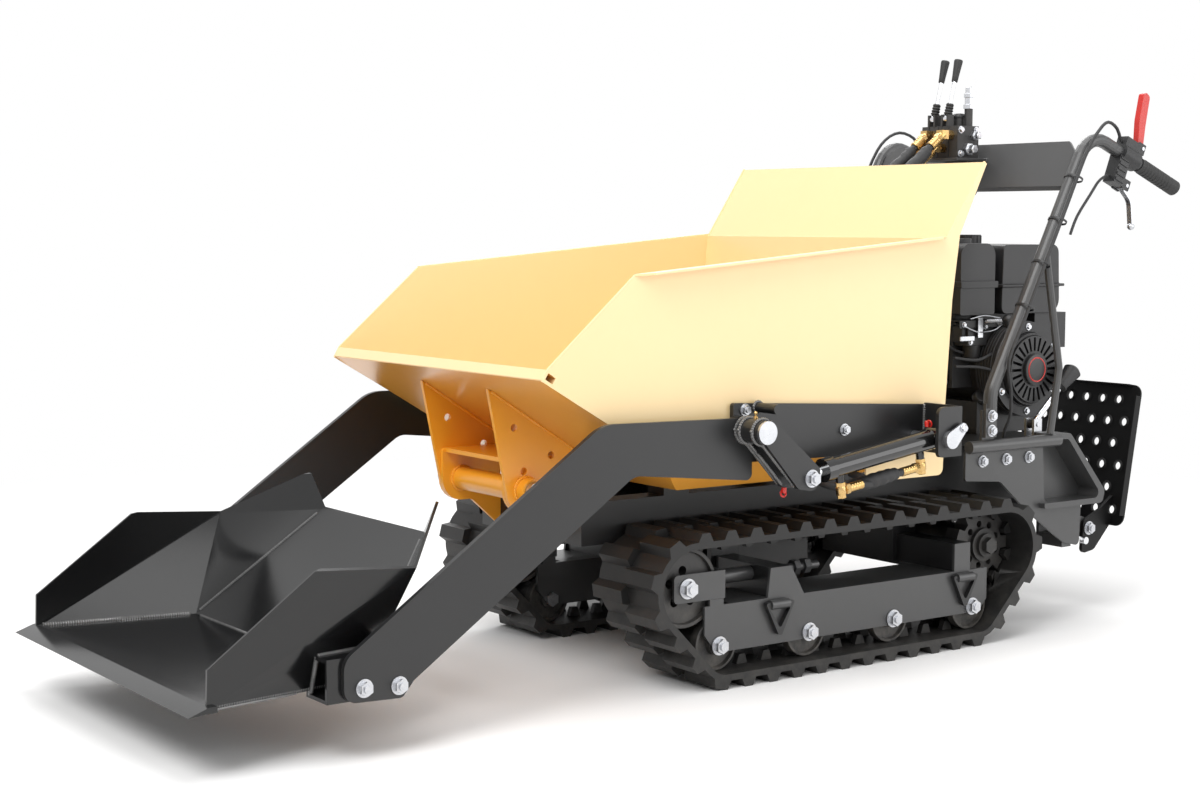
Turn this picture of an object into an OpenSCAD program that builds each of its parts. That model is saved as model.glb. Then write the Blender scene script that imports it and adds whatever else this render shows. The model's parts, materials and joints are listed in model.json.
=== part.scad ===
// Tracked power carrier with a tipping hopper and a front self-loading bucket.
// The bucket end faces -Y, the handlebars +Y, and the left track lies on +X.

/* [Undercarriage] */
// Distance between the middles of the two tracks
track_gauge = 546; // [530:1:570]
// Width of one rubber track
belt_w = 180; // [170:1:190]
// Thickness of the track's carcass
belt_t = 12; // [9:1:15]
// Height of a tread lug
lug_h = 16; // [10:1:22]
// Distance from lug to lug along the track
link_pitch = 60; // [50:1:72]
// Height of the guide horns inside the track
guide_h = 18; // [12:1:20]
// Diameter of a road wheel
road_wheel_d = 96; // [88:1:104]
// Distance from road wheel to road wheel
road_wheel_pitch = 219; // [205:1:228]
// Diameter of the idler and the drive sprocket
end_wheel_d = 148; // [138:1:156]
// Height of the idler and sprocket axles
end_wheel_z = 190; // [180:1:200]
// Distance from the idler axle to the sprocket axle
wheelbase = 805; // [790:1:830]
// Width over both rims of a wheel
wheel_w = 110; // [104:1:116]
// Width of one wheel rim
rim_w = 18; // [14:1:20]
// Number of sprocket teeth
sprocket_teeth = 9; // [7:1:11]
// Height of the track frame's upper face
frame_top = 152; // [146:1:156]
// Depth of the track frame
frame_h = 88; // [80:1:92]
// Thickness of the track frame's plates
frame_t = 6; // [4:1:8]

/* [Hopper] */
// Width of the hopper over its sides
hopper_w = 740; // [720:1:752]
// Width of the hopper's floor
floor_w = 600; // [560:1:640]
// Thickness of the hopper's sheet
sheet_t = 4; // [3:0.5:6]
// Height of the hopper's underside
floor_z = 365; // [358:1:375]
// Height of the front lip
lip_z = 584; // [570:1:600]
// Reach of the front lip ahead of the track's middle
lip_y = 741; // [730:1:755]
// Height of the side rim at its front corner
rim_front_z = 757; // [740:1:775]
// Height of the side rim at the back panel
rim_rear_z = 822; // [805:1:840]
// Height of the back panel's top edge
back_top_z = 970; // [950:1:990]
// Width of the folded side rim
rim_flange = 22; // [14:1:25]
// Height of the hopper's hinge axis
hinge_z = 360; // [354:1:366]
// Distance of the hinge axis ahead of the track's middle
hinge_y = 608; // [600:1:616]
// Distance between the outer faces of the hinge plates
hinge_plate_w = 240; // [220:1:260]
// Diameter of the hinge pin
hinge_pin_d = 28; // [24:1:32]

/* [Loader] */
// Width over the outer faces of the two arms
arm_w = 816; // [812:1:830]
// Thickness of an arm plate
arm_t = 10; // [8:1:12]
// Height of the arm pivot
pivot_z = 480; // [474:1:486]
// Distance of the arm pivot ahead of the track's middle
pivot_y = 330; // [322:1:338]
// Diameter of the pivot shaft
pivot_d = 30; // [26:1:34]
// Width of the bucket over its sides
bucket_w = 744; // [730:1:752]
// Width of the cutting edge
edge_w = 762; // [756:1:775]
// Height of the cutting edge above the ground
edge_z = 105; // [95:1:115]
// Reach of the cutting edge ahead of the track's middle
edge_y = 1387; // [1370:1:1405]
// Thickness of the bucket's plate
bucket_t = 5; // [4:0.5:8]
// Width of the chute at the top of the bucket's back
chute_w = 372; // [340:1:400]
// Diameter of a lift cylinder
lift_d = 38; // [34:1:42]
// Diameter of a lift cylinder's rod
lift_rod_d = 20; // [16:1:22]
// Diameter of the cylinder pins
cylinder_pin_d = 20; // [16:1:22]
// Diameter of the tip cylinder
tip_d = 52; // [44:1:58]
// Diameter of the tip cylinder's rod
tip_rod_d = 28; // [22:1:32]

/* [Rear] */
// Width of the engine deck
deck_w = 568; // [550:1:576]
// Height of the deck's upper face
deck_z = 396; // [390:1:402]
// Distance between the two handlebar tubes
handle_gauge = 600; // [590:1:612]
// Diameter of the handlebar tube
handle_d = 28; // [25:1:32]
// Height of the handlebar's top corner
handle_z = 1040; // [1020:1:1060]
// Drop of the grips from level, in degrees
grip_drop = 22; // [16:1:26]
// Length of the handlebar behind its top corner
grip_reach = 300; // [290:1:320]
// Diameter of a hand grip
grip_d = 34; // [32:1:38]
// Width of the folding platform
platform_w = 530; // [500:1:560]
// Height of the folding platform
platform_h = 316; // [300:1:330]
// Lean of the folded platform, in degrees
platform_lean = 10; // [6:1:12]
// Diameter of the platform's holes
platform_hole_d = 18; // [12:1:20]
// Diameter of the recoil starter's cover
recoil_d = 156; // [140:1:164]
// Diameter of the fuel cap
fuel_cap_d = 62; // [52:1:70]

/* [Fits] */
// Running clearance round a pin or shaft
run_gap = 0.05; // [0.02:0.01:0.1]
// Gap between pieces that pass each other
seat_gap = 0.3; // [0.3:0.05:0.6]
// Gap between a wheel and the track that runs round it
belt_gap = 0.8; // [0.6:0.1:1.2]
// Gap at the ends of the hoses and cables
hose_gap = 1.3; // [1:0.1:2]

/* [Hidden] */
$fn = 48;

// Colours of the finishes
paint_yellow = "#F2B83A";
paint_black = "#26272A";
rubber_black = "#1B1B1C";
plain_zinc = "#C9CCD0";
gold_zinc = "#C9A04A";
lever_red = "#D8261C";

// Places worked out from the sizes, in the frame of the track's middle
handle_rise = [143, 272] / norm([143, 272]);
handle_corner = [691, handle_z];
grip_round = 3;
grip_cap = 6;
grip_end_y = handle_corner[0] + (grip_reach + grip_cap) * cos(grip_drop) + (grip_d / 2 - grip_round)
  * sin(grip_drop);
origin_y = (edge_y - grip_end_y) / 2;
track_x = track_gauge / 2;
road_r = road_wheel_d / 2;
end_r = end_wheel_d / 2;
belt_in_z = lug_h + belt_t;
road_z = belt_in_z + road_r + belt_gap;
road_y = [for (i = [0:3]) (i - 1.5) * road_wheel_pitch];
end_y = wheelbase / 2;
plate_in = wheel_w / 2 + 2;
plate_out = plate_in + frame_t;
frame_low = frame_top - frame_h;
axle_d = 20;
idler_axle_d = 24;
drive_shaft_d = 30;
tube_front = [-205, -155];
tube_rear = [278, 322];
tube_top = frame_top + 56;
tension_z = end_wheel_z;
side_x = hopper_w / 2;
floor_x = floor_w / 2;
plate_t = 10;
plate_x = side_x + plate_t;
arm_x = arm_w / 2;
arm_in_x = arm_x - arm_t;
pivot = [-pivot_y, pivot_z];
rod_pin = pivot + [108, -89];
base_pin = pivot + [446, -39];
ear_in = arm_x + 10;
eye_w = 36;
eye_x = ear_in + seat_gap + eye_w / 2;
ear_out = ear_in + eye_w + 2 * seat_gap;
hub_out = ear_out + 10;
cap_x = hub_out + seat_gap;
tip_base = [-180, 120];
tip_pin = [-400, floor_z - 35];
tip_eye_w = 39.4;
tip_ear_x = tip_eye_w / 2 + seat_gap;
hinge = [-hinge_y, hinge_z];
foot_y = 410;
guard_x = deck_w / 2;
guard_t = 6;
loop_w = 56;
loop_x = guard_x + guard_t + 16 - loop_w - 4 - seat_gap;
rail_z = deck_z - 2;
rail_r = 13;
platform_hinge = [802, 181];
shelf_z = 985;
beam_out = track_x - belt_w / 2 - 13;
beam_in = beam_out - 50;
beam_low = floor_z - 110;
beam_top = floor_z - 30;
engine_c = [644, 536];

// Unit vector along v
function unit(v) = v / norm(v);

// Points of an arc of radius r that rounds the corner b between a and c
function bend(a, b, c, r, n) =
  let (u = unit(a - b), v = unit(c - b), half = acos(u * v) / 2, t = r / tan(half))
  let (m = b + unit(u + v) * (r / sin(half)), s = unit(b + u * t - m), e = unit(b + v * t - m))
  let (w = 180 - 2 * half)
  [for (i = [0:n]) m + r * (sin((1 - i / n) * w) * s + sin(i / n * w) * e) / sin(w)];

// Closed outline from corners [y, z, rounding radius]
function outline(p, n = 6) =
  let (m = len(p), q = [for (c = p) [c[0], c[1]]])
  [for (i = [0:m - 1])
    each p[i][2] > 0 ? bend(q[(i + m - 1) % m], q[i], q[(i + 1) % m], p[i][2], n) : [q[i]]];

// Open path with every inner corner rounded
function bent_path(p, r, n = 6) =
  [p[0], for (i = [1:len(p) - 2]) each bend(p[i - 1], p[i], p[i + 1], r, n), p[len(p) - 1]];

// Smooth curve through hand-chosen points
function curve(p, n) =
  let (m = len(p) - 1)
  [for (i = [0:m - 1], k = [0:n - 1])
    let (t = k / n, a = p[max(i - 1, 0)], b = p[i], c = p[i + 1], d = p[min(i + 2, m)])
    0.5 * (2 * b + (c - a) * t + (2 * a - 5 * b + 4 * c - d) * t * t + (3 * b - a - 3 * c + d) * t * t
      * t),
   p[m]];

// Moves the machine so that its box is centred on the origin
module place() translate([0, origin_y, 0]) children();

// Repeats its children on the left and, mirrored, on the right
module both() {
  children();
  mirror([1, 0, 0]) children();
}

// One side: +1 left, -1 right
module on_side(s) mirror([s < 0 ? 1 : 0, 0, 0]) children();

// Plate of thickness t from x, with its outline in Y and Z
module plate(x, t, p) translate([x, 0, 0]) rotate([90, 0, 90]) linear_extrude(t) polygon(p);

// Bar along X from x0 to x1 at c = [y, z]
module bar(x0, x1, c, r, fn = 48)
  translate([x0, c[0], c[1]]) rotate([0, 90, 0]) cylinder(r = r, h = x1 - x0, $fn = fn);

// Box from its lowest to its highest corner
module box(a, b) translate(a) cube(b - a);

// Both ways of splitting four corners into two faces; the one that bulges away from mid is kept
function facing(p, mid) = let (n = unit(cross(p[1] - p[0], p[2] - p[0]))) (mid - p[0]) * n > 0 ? n : -n;
function split(q, mid) = (q[3] - q[0]) * facing([q[0], q[1], q[2]], mid) >= 0 ?
  [[q[0], q[1], q[2]], [q[0], q[2], q[3]]] : [[q[0], q[1], q[3]], [q[1], q[2], q[3]]];

// Everything deeper than t behind the face f, on the side of mid
module behind(f, mid, t) {
  n = facing(f, mid);
  u = unit(f[1] - f[0]);
  reach = 3000;
  multmatrix([for (i = [0:2]) [u[i], cross(n, u)[i], n[i], f[0][i]]])
    translate([-reach, -reach, t]) cube([2 * reach, 2 * reach, reach]);
}

// Open shell: walls of thickness t on the closed faces, nothing on the open ones
module shell(closed, open, mid, t) difference() {
  intersection_for(f = concat(closed, open)) behind(f, mid, 0);
  intersection_for(f = closed) behind(f, mid, t);
}

// Open shell: a plate of thickness t inside each listed face of the solid that wraps the points
module wrap_shell(points, faces, mid, t) intersection() {
  hull() polyhedron(points, [[for (i = [0:len(points) - 1]) i]]);
  union() for (f = faces) difference() {
    behind(f, mid, -1);
    behind(f, mid, t);
  }
}

// Round tube swept along a path
module sweep(path, r, sides = 10, across = [1, 0, 0]) {
  n = len(path);
  points = [for (i = [0:n - 1])
    let (t = unit(path[min(i + 1, n - 1)] - path[max(i - 1, 0)]))
    let (b = unit(across - (across * t) * t), c = cross(t, b))
    for (k = [0:sides - 1]) path[i] + r * (cos(360 * k / sides) * b + sin(360 * k / sides) * c)];
  polyhedron(points, concat(
    [[for (k = [0:sides - 1]) k]],
    [for (i = [0:n - 2], k = [0:sides - 1])
      let (a = i * sides + k, b = i * sides + (k + 1) % sides)
      each [[a, a + sides, b + sides], [a, b + sides, b]]],
    [[for (k = [sides - 1:-1:0]) (n - 1) * sides + k]]));
}

// Hexagon bolt head with its washer on a face at x, pointing to +X
module bolt_head(x, c, r, h) {
  bar(x, x + 2.5, c, r * 1.25);
  bar(x + 2.5, x + 2.5 + h, c, r, 6);
  bar(x + 2.5 + h, x + 6 + h, c, r * 0.55);
}

// Track: the belt's inner face runs over four circles [y, z, radius]
function belt_circles() = [[road_y[0], road_z, road_r + belt_gap], [road_y[3], road_z, road_r + belt_gap],
  [end_y, end_wheel_z, end_r + belt_gap], [-end_y, end_wheel_z, end_r + belt_gap]];
function leave_angle(a, b) =
  atan2(b[1] - a[1], b[0] - a[0]) - acos((a[2] - b[2]) / norm([b[0] - a[0], b[1] - a[1]]));
function up_from(a, b) = b < a ? up_from(a, b + 360) : b;
belt_arcs = [for (i = [0:3])
  let (c = belt_circles(), a = leave_angle(c[(i + 3) % 4], c[i]),
    b = up_from(a, leave_angle(c[i], c[(i + 1) % 4])))
  [c[i], a, b]];
belt_lines = [for (i = [0:3])
  let (a = belt_arcs[i][0], b = belt_arcs[(i + 1) % 4][0], d = norm([b[0] - a[0], b[1] - a[1]]))
  sqrt(d * d - (a[2] - b[2]) * (a[2] - b[2]))];
belt_arc_l = [for (g = belt_arcs) g[0][2] * (g[2] - g[1]) * PI / 180];
belt_l = belt_lines * [1, 1, 1, 1] + belt_arc_l * [1, 1, 1, 1];
belt_links = round(belt_l / link_pitch);
link_l = belt_l / belt_links;
// Point on the belt at distance s along it, and off out of its inner face
function belt_point(s, off, i = 0) =
  let (g = belt_arcs[i], c = g[0], w = belt_arc_l[i], l = belt_lines[i])
  s < w ? let (a = g[1] + (g[2] - g[1]) * s / w) [c[0], c[1]] + (c[2] + off) * [cos(a), sin(a)] :
  s < w + l || i == 3 ? [c[0], c[1]] + (c[2] + off) * [cos(g[2]), sin(g[2])] + (s - w) * [-sin(g[2]),
    cos(g[2])] :
  belt_point(s - w - l, off, i + 1);
function belt_wrap(s, off) = belt_point(s - belt_l * floor(s / belt_l), off);
lug_foot = link_l * 0.56;
lug_tip = link_l * 0.3;
function tread(phase) = [for (i = [0:belt_links - 1])
  let (s = (i + phase) * link_l)
  each [belt_wrap(s - lug_foot / 2, belt_t), belt_wrap(s - lug_tip / 2, belt_t + lug_h),
    belt_wrap(s + lug_tip / 2, belt_t + lug_h), belt_wrap(s + lug_foot / 2, belt_t),
    belt_wrap(s + link_l / 2, belt_t)]];
function belt_inside(off) = [for (g = belt_arcs, k = [0:20])
  let (a = g[1] + (g[2] - g[1]) * k / 20) [g[0][0], g[0][1]] + (g[0][2] + off) * [cos(a), sin(a)]];
function horns() = [for (i = [0:belt_links - 1])
  let (s = i * link_l)
  each [belt_wrap(s - 13, 0), belt_wrap(s - 7, -guide_h), belt_wrap(s + 7, -guide_h),
    belt_wrap(s + 13, 0),
    belt_wrap(s + link_l / 2, 0)]];
module belt_strip(x0, x1, outer, inner) {
  n = len(outer);
  m = len(inner);
  translate([x0, 0, 0]) rotate([90, 0, 90]) linear_extrude(x1 - x0)
    polygon(concat(outer, inner), [[for (i = [0:n - 1]) i], [for (i = [0:m - 1]) n + i]]);
}
module track_belt(s) color(rubber_black) place() on_side(s) translate([track_x, 0, 0]) {
  belt_strip(-belt_w / 2, 0, tread(0), belt_inside(0));
  belt_strip(0, belt_w / 2, tread(0.5), belt_inside(0));
  for (x = [-32, 20]) belt_strip(x, x + 12, belt_inside(2), horns());
}

// Wheel turned from one profile of [radius, x] pairs, mirrored about its middle
module turned(half) rotate([0, 90, 0]) rotate_extrude()
  polygon(concat(half, [for (i = [len(half) - 1:-1:0]) [half[i][0], -half[i][1]]]));
module wheel(c, r, bore_d, hub_r, dish_r) place() translate([track_x, c[0], c[1]]) {
  b = bore_d / 2 + run_gap;
  w = wheel_w / 2;
  turned([[b, plate_in - seat_gap], [b + 8, plate_in - seat_gap], [b + 9, w - 7], [dish_r, w - 7],
    [dish_r + 2, w], [r - 1, w], [r, w - 1], [r, w - rim_w], [r - 7, w - rim_w - 1],
      [hub_r, w - rim_w - 5]]);
}
module road_wheel(s, i) color(paint_black) on_side(s)
  wheel([road_y[i], road_z], road_r, axle_d, road_r - 24, road_r - 7);
module idler(s) color(paint_black) on_side(s) difference() {
  wheel([-end_y, end_wheel_z], end_r, idler_axle_d, end_r - 26, end_r - 9);
  place() translate([track_x, -end_y, end_wheel_z]) for (a = [0:72:288]) rotate([a, 0, 0])
    translate([-wheel_w, 0, end_r - 43]) rotate([0, 90, 0]) cylinder(r = 9, h = 2 * wheel_w);
}
module sprocket(s) color(paint_black) on_side(s) place() translate([track_x, end_y, end_wheel_z]) {
  step = 360 / sprocket_teeth;
  rotate([90, 0, 90]) translate([0, 0, -17]) linear_extrude(34) difference() {
    polygon([for (k = [0:sprocket_teeth - 1], q = [[-0.32, 16], [-0.24, 0], [0.24, 0], [0.32, 16]])
      (end_r - q[1]) * [cos((k + q[0]) * step), sin((k + q[0]) * step)]]);
    for (k = [0:sprocket_teeth - 1]) rotate((k + 0.5) * step) translate([end_r - 31, 0]) circle(r = 7);
  }
  bar(-28, 26, [0, 0], 34);
  bar(26, 34, [0, 0], 24);
  bar(34, 46, [0, 0], 17, 6);
  bar(beam_in - 30 - track_x, 26, [0, 0], drive_shaft_d / 2);
}

module track_frame_side() {
  front = -362;
  rear = 371;
  side = outline([[front + 27, frame_low, 0], [rear - 22, frame_low, 0], [rear, frame_low + 24, 0],
    [rear, frame_top, 0], [front, frame_top, 0], [front, frame_low + 35, 0]]);
  translate([track_x, 0, 0]) difference() {
    union() {
      for (x = [-plate_out, plate_in]) plate(x, frame_t, side);
      box([-plate_in - 1, -300, frame_top - frame_t], [plate_in + 1, 320, frame_top]);
      // Gussets over the outer ends of the cross tubes
      plate(plate_in, frame_t, [[tube_front[0] - 7, frame_top - 1], [tube_front[1] + 33, frame_top - 1],
        [tube_front[1], tube_top], [tube_front[0], tube_top]]);
      plate(plate_in, frame_t, [[tube_rear[0], frame_top - 1], [tube_rear[1], frame_top - 1],
        [tube_rear[1], tube_top], [tube_rear[0], tube_top]]);
      for (x = [-plate_out, plate_in])
        box([x, -350, frame_top - 1], [x + frame_t, -318, tension_z - 26 - seat_gap]);
      for (y = ring_y) bar_y([plate_out + ring_off, y, ring_z], 44, ring_r + 4);
      for (y = ring_y) box([plate_out - 1, y - 22, ring_z - 3],
        [plate_out + ring_off, y + 22, ring_z + 3]);
    }
    for (y = road_y) bar(-plate_out - 1, plate_out + 1, [y, road_z], axle_d / 2 + run_gap);
    for (y = ring_y) bar_y([plate_out + ring_off, y, ring_z], 46, ring_r + run_gap);
  }
}
// Bar along Y of length l, centred on c
module bar_y(c, l, r) translate([c[0], c[1] + l / 2, c[2]]) rotate([90, 0, 0]) cylinder(r = r, h = l);

module idler_fork_side() translate([track_x, 0, 0]) {
  bridge = -end_y + end_r + 4;
  difference() {
    union() {
      for (x = [-plate_out, plate_in]) plate(x, frame_t, outline([[-end_y - 30, tension_z - 26, 8],
        [bridge + 10, tension_z - 26, 0], [bridge + 10, tension_z + 26, 0],
          [-end_y - 30, tension_z + 26, 8]]));
      box([-plate_in - 1, bridge, tension_z - 26], [plate_in + 1, bridge + 10, tension_z + 26]);
    }
    bar(-plate_out - 1, plate_out + 1, [-end_y, end_wheel_z], idler_axle_d / 2 + run_gap);
  }
  bar_y([0, (bridge + 10 + tube_front[0]) / 2, tension_z], tube_front[0] - bridge - 10, 14);
  bar_y([0, tube_front[1] + 60, tension_z], 120, 8);
  for (y = [70, 96]) translate([0, tube_front[1] + y, tension_z]) rotate([90, 0, 0]) cylinder(r = 15,
    h = 14, $fn = 6);
}
module track_frames() color(paint_black) place() both() {
  track_frame_side();
  idler_fork_side();
}

// Tie-down rings hang in sleeves on the outer plates of the track frames
ring_y = [-190, 300];
ring_z = 140;
ring_r = 5;
ring_off = 7;
module tie_ring(s, i) color(paint_black) place() on_side(s) translate([track_x + plate_out + ring_off,
  ring_y[i], ring_z]) {
  outer = outline([[-36, 5, 4], [36, 5, 4], [4, -58, 5], [-4, -58, 5]]);
  inner = outline([[-25, -7, 3], [25, -7, 3], [0, -46, 4]]);
  bar_y([0, 0, 0], 56, ring_r);
  difference() {
    plate(-4.5, 9, outer);
    plate(-5, 10, inner);
    box([-6, -23, -12], [6, 23, 12]);
  }
}

module main_frame() color(paint_black) place() {
  front = -475;
  nose = front - 45;
  rear = 640;
  difference() {
    union() {
      both() {
        box([beam_in, nose, beam_low], [beam_out, rear, beam_top]);
        for (t = [tube_front, tube_rear]) {
          box([beam_in + 38, t[0] - 10, frame_top], [beam_out, t[1] + 10, beam_low + 1]);
          box([beam_in + 38, t[0], frame_top], [track_x + plate_in, t[1], tube_top]);
        }
        for (y = [-330, 120]) box([beam_in, y, beam_top - 1], [beam_out, y + 60, floor_z]);
        box([beam_in + 38, 360, beam_top - 1], [beam_out, rear, deck_z - 8]);
      }
      box([-beam_in - 1, nose, beam_low], [beam_in + 1, front, beam_top]);
      box([-beam_in - 1, -120, beam_low], [beam_in + 1, 120, beam_top - 10]);
      box([-beam_in - 1, tip_base[0] - 40, tip_base[1] - 30],
        [beam_in + 1, tip_base[0] + 60, tip_base[1] - 24]);
      both() box([beam_in, tip_base[0] - 40, tip_base[1] - 30],
        [beam_in + 10, tip_base[0] + 60, beam_low + 1]);
      both() plate(tip_ear_x, 10, outline([[tip_base[0] - 30, tip_base[1] - 25, 0],
        [tip_base[0] + 30, tip_base[1] - 25, 0],
        [tip_base[0] + 22, tip_base[1] + 24, 14], [tip_base[0] - 22, tip_base[1] + 24, 14]]));
      box([-guard_x, 345, deck_z - 8], [guard_x, 570, deck_z]);
      box([-loop_x, 569, deck_z - 8], [loop_x, 660, deck_z]);
    }
    bar(-60, 60, tip_base, cylinder_pin_d / 2 + run_gap);
    // The beams are channels open to the inside, the cross tubes and the oil tank are hollow
    both() {
      for (y = [[nose + 10, -130], [130, 334], [486, rear - 8]])
        box([beam_in - 0.5, y[0], beam_low + 6], [beam_out - 6, y[1], beam_top - 6]);
      for (t = [tube_front, tube_rear]) box([beam_in + 44, t[0] + 5, frame_top + 5],
        [track_x + plate_in + 1, t[1] - 5, tube_top - 5]);
    }
    box([-beam_in + 6, -114, beam_low + 6], [beam_in - 6, 114, beam_top - 16]);
    translate([60, 60, beam_top - 20]) cylinder(r = 18, h = 20);
  }
}

module hinge_bracket() color(paint_yellow) place() {
  cheek_out = hinge_plate_w / 2 - 8 - seat_gap;
  bore = hinge_pin_d / 2 + run_gap;
  back = -520;
  difference() {
    union() {
      both() plate(cheek_out - 8, 8, outline([[back, beam_low + 5, 0], [back, hinge[1] + 60, 0],
        [hinge[0] - 42, hinge[1] + 60, 8], [hinge[0] - 42, hinge[1] - 42, 41],
          [hinge[0] + 22, hinge[1] - 42, 15]]));
      box([-cheek_out + 4, hinge[0] - 36, hinge[1] + 52], [cheek_out - 4, back, hinge[1] + 60]);
      bar(-cheek_out, cheek_out, hinge, hinge_pin_d / 2 + 8);
    }
    bar(-cheek_out - 1, cheek_out + 1, hinge, bore);
  }
}

// Corners of the hopper's left half, [x, y, z]
rim_front = [-lip_y + 192, rim_front_z];
fold = [205, rim_rear_z];
back_top = [306, back_top_z];
bend_z = floor_z + 75;
wall_low = [160, floor_z];
wall_bend = wall_low + (bend_z - floor_z) / (fold[1] - floor_z) * (fold - wall_low);
lip_inner_x = 240;
tub = [[side_x, -lip_y, lip_z], [side_x, -lip_y + 12, lip_z + 19], [side_x, rim_front[0], rim_front[1]],
  [side_x, fold[0], fold[1]], [side_x, wall_bend[0], bend_z], [side_x, -490, bend_z],
  [lip_inner_x, -lip_y, lip_z], [floor_x, -400, floor_z], [floor_x, wall_low[0], floor_z]];
function other(p) = [-p[0], p[1], p[2]];
function others(q) = [for (p = q) other(p)];
tub_mid = [0, -200, 600];
// Where the front corner sheets meet the lower ones, a little up from the floor
tub_corner = tub[7] + 0.08 * [side_x - floor_x,
  (tub[6][1] - tub[7][1]) * (bend_z - floor_z) / (tub[6][2] - tub[7][2]),
  bend_z - floor_z];
tub_left = concat([[tub[5], tub[4], tub[8]]], split([tub[0], tub[5], tub_corner, tub[6]], tub_mid));
tub_closed = concat(tub_left, [for (f = tub_left) others(f)],
  [[tub[6], other(tub[6]), tub[7]], [tub[7], other(tub[7]), tub[8]], [tub[8], other(tub[8]), tub[3]]]);
// The walls run 3 mm into the side plates
wall_x = side_x - sheet_t + 1;
tub_cut = [[wall_x, 0, 0], [wall_x, 1, 0], [wall_x, 0, 1]];
// The walls stop a little below the edges of the side plates
tub_edge = [for (p = [tub[0], tub[1], tub[2], tub[3]]) p + [0, 0.8, -2]];
tub_open = concat([tub_cut, others(tub_cut)],
  [for (i = [0:2]) [tub_edge[i], other(tub_edge[i]), tub_edge[i + 1]]]);
// Side plate with the skirt below it and the side of the flared back panel
side_low_z = bend_z - (side_x - wall_x);
side_outline = outline([[-lip_y, lip_z - 2, 0], [-492, side_low_z, 0], [0, side_low_z, 0],
  [0, floor_z - 8, 14], [205, floor_z - 8, 14],
  [209, lip_z - 86, 0], [223, 699, 0], [241, rim_rear_z + 4, 0], [312, back_top_z - 5, 0],
    [back_top[0], back_top[1], 0],
  [fold[0], fold[1], 0], [rim_front[0], rim_front[1], 0], [-lip_y + 12, lip_z + 19, 0]]);
// Directions along and out of the front sheet
front_run = unit([tub[7][1] - tub[6][1], tub[7][2] - tub[6][2]]);
front_out = [-front_run[1], front_run[0]];
function on_lip(a, b) = [-lip_y, lip_z] + a * front_run + b * front_out;
module hopper_side() {
  plate(side_x - sheet_t, sheet_t, side_outline);
  // Folded rim, with its two corners cut off
  intersection() {
    plate(side_x - sheet_t + 1, rim_flange + sheet_t - 1,
      [for (q = [[rim_front, -2], [fold, -2], [fold, 2], [rim_front, 2]]) q[0] + [0, q[1]]]);
    translate([0, 0, rim_front[1] - 20]) linear_extrude(160) polygon([[side_x - sheet_t,
      rim_front[0] + 1], [side_x, rim_front[0] + 1],
      [side_x + rim_flange, rim_front[0] + 30], [side_x + rim_flange, fold[0] - 30],
        [side_x, fold[0] - 1], [side_x - sheet_t, fold[0] - 1]]);
  }
}
module hopper() color(paint_yellow) place() difference() {
  rise = unit(back_top - fold);
  out = sheet_t * [rise[1], -rise[0]];
  union() {
    shell(tub_closed, tub_open, tub_mid, sheet_t);
    both() hopper_side();
    plate(-wall_x, 2 * wall_x, [for (q = [[-8, 0.25], [1.5, 0.25], [1.5, 1.2], [-8, 1.2]])
      (q[0] < 0 ? fold : back_top - 2 * q[0] * rise) + q[0] * rise + q[1] * out]);
    // Folded square channel along the front lip
    plate(-wall_x, 2 * wall_x, [on_lip(0.6, 1), on_lip(26, 1), on_lip(26, 21), on_lip(0.6, 21)]);
  }
  plate(-side_x - 1, 2 * side_x + 2, [on_lip(4.6, 5), on_lip(22, 5), on_lip(22, 17), on_lip(4.6, 17)]);
}

module hopper_frame() color(paint_yellow) place() {
  x0 = hinge_plate_w / 2 - 8;
  // Underside of the front sheet, as a height for a given y
  slope = (lip_z - floor_z) / (tub[7][1] + lip_y);
  top = [for (y = [-690, -495]) [y, lip_z - (y + lip_y) * slope - 1]];
  holes = [for (p = [[-26, 117], [55, 62], [-5, 36]]) hinge + p];
  difference() {
    union() {
      both() plate(x0, 8, concat([top[1], top[0]],
        [for (a = [180:15:330]) hinge + 42 * [cos(a), sin(a)]]));
      both() bar(x0 + 7, x0 + 34, hinge, hinge_pin_d / 2 + 10);
    }
    bar(-x0 - 40, x0 + 40, hinge, hinge_pin_d / 2 + run_gap);
    for (h = holes) bar(-x0 - 20, x0 + 20, h, 7);
  }
  both() plate(tip_ear_x, 9, outline([[tip_pin[0] - 34, floor_z, 0], [tip_pin[0] + 44, floor_z, 0],
    [tip_pin[0] + 16, tip_pin[1] - 24, 12], [tip_pin[0] - 16, tip_pin[1] - 24, 12]]));
}

module loader_plates() color(paint_black) place() both() {
  front = pivot[0] - 5;
  rear = base_pin[0] + 84;
  difference() {
    union() {
      plate(side_x, plate_t, outline([[front, pivot[1] - 62, 10], [rear, pivot[1] - 72, 10],
        [rear, pivot[1] + 17, 6],
        [front, pivot[1] + 46, 6]]));
      bar(plate_x - 1, cap_x, pivot, pivot_d / 2);
      bar(plate_x - 1, arm_in_x - seat_gap, pivot, pivot_d / 2 + 9);
      bar(plate_x - 1, plate_x + 56, pivot + [52, 36], 9);
      box([plate_x - 1, base_pin[0] + 26, base_pin[1] - 33],
        [hub_out + 8, base_pin[0] + 34, base_pin[1] + 62]);
      plate(hub_out, 8, outline([[base_pin[0] - 28, base_pin[1] - 33, 10],
        [base_pin[0] + 30, base_pin[1] - 33, 0],
        [base_pin[0] + 30, base_pin[1] + 62, 0], [base_pin[0] - 28, base_pin[1] + 62, 14]]));
    }
    bar(side_x - 1, hub_out + 20, base_pin, cylinder_pin_d / 2 + run_gap);
  }
}

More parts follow.
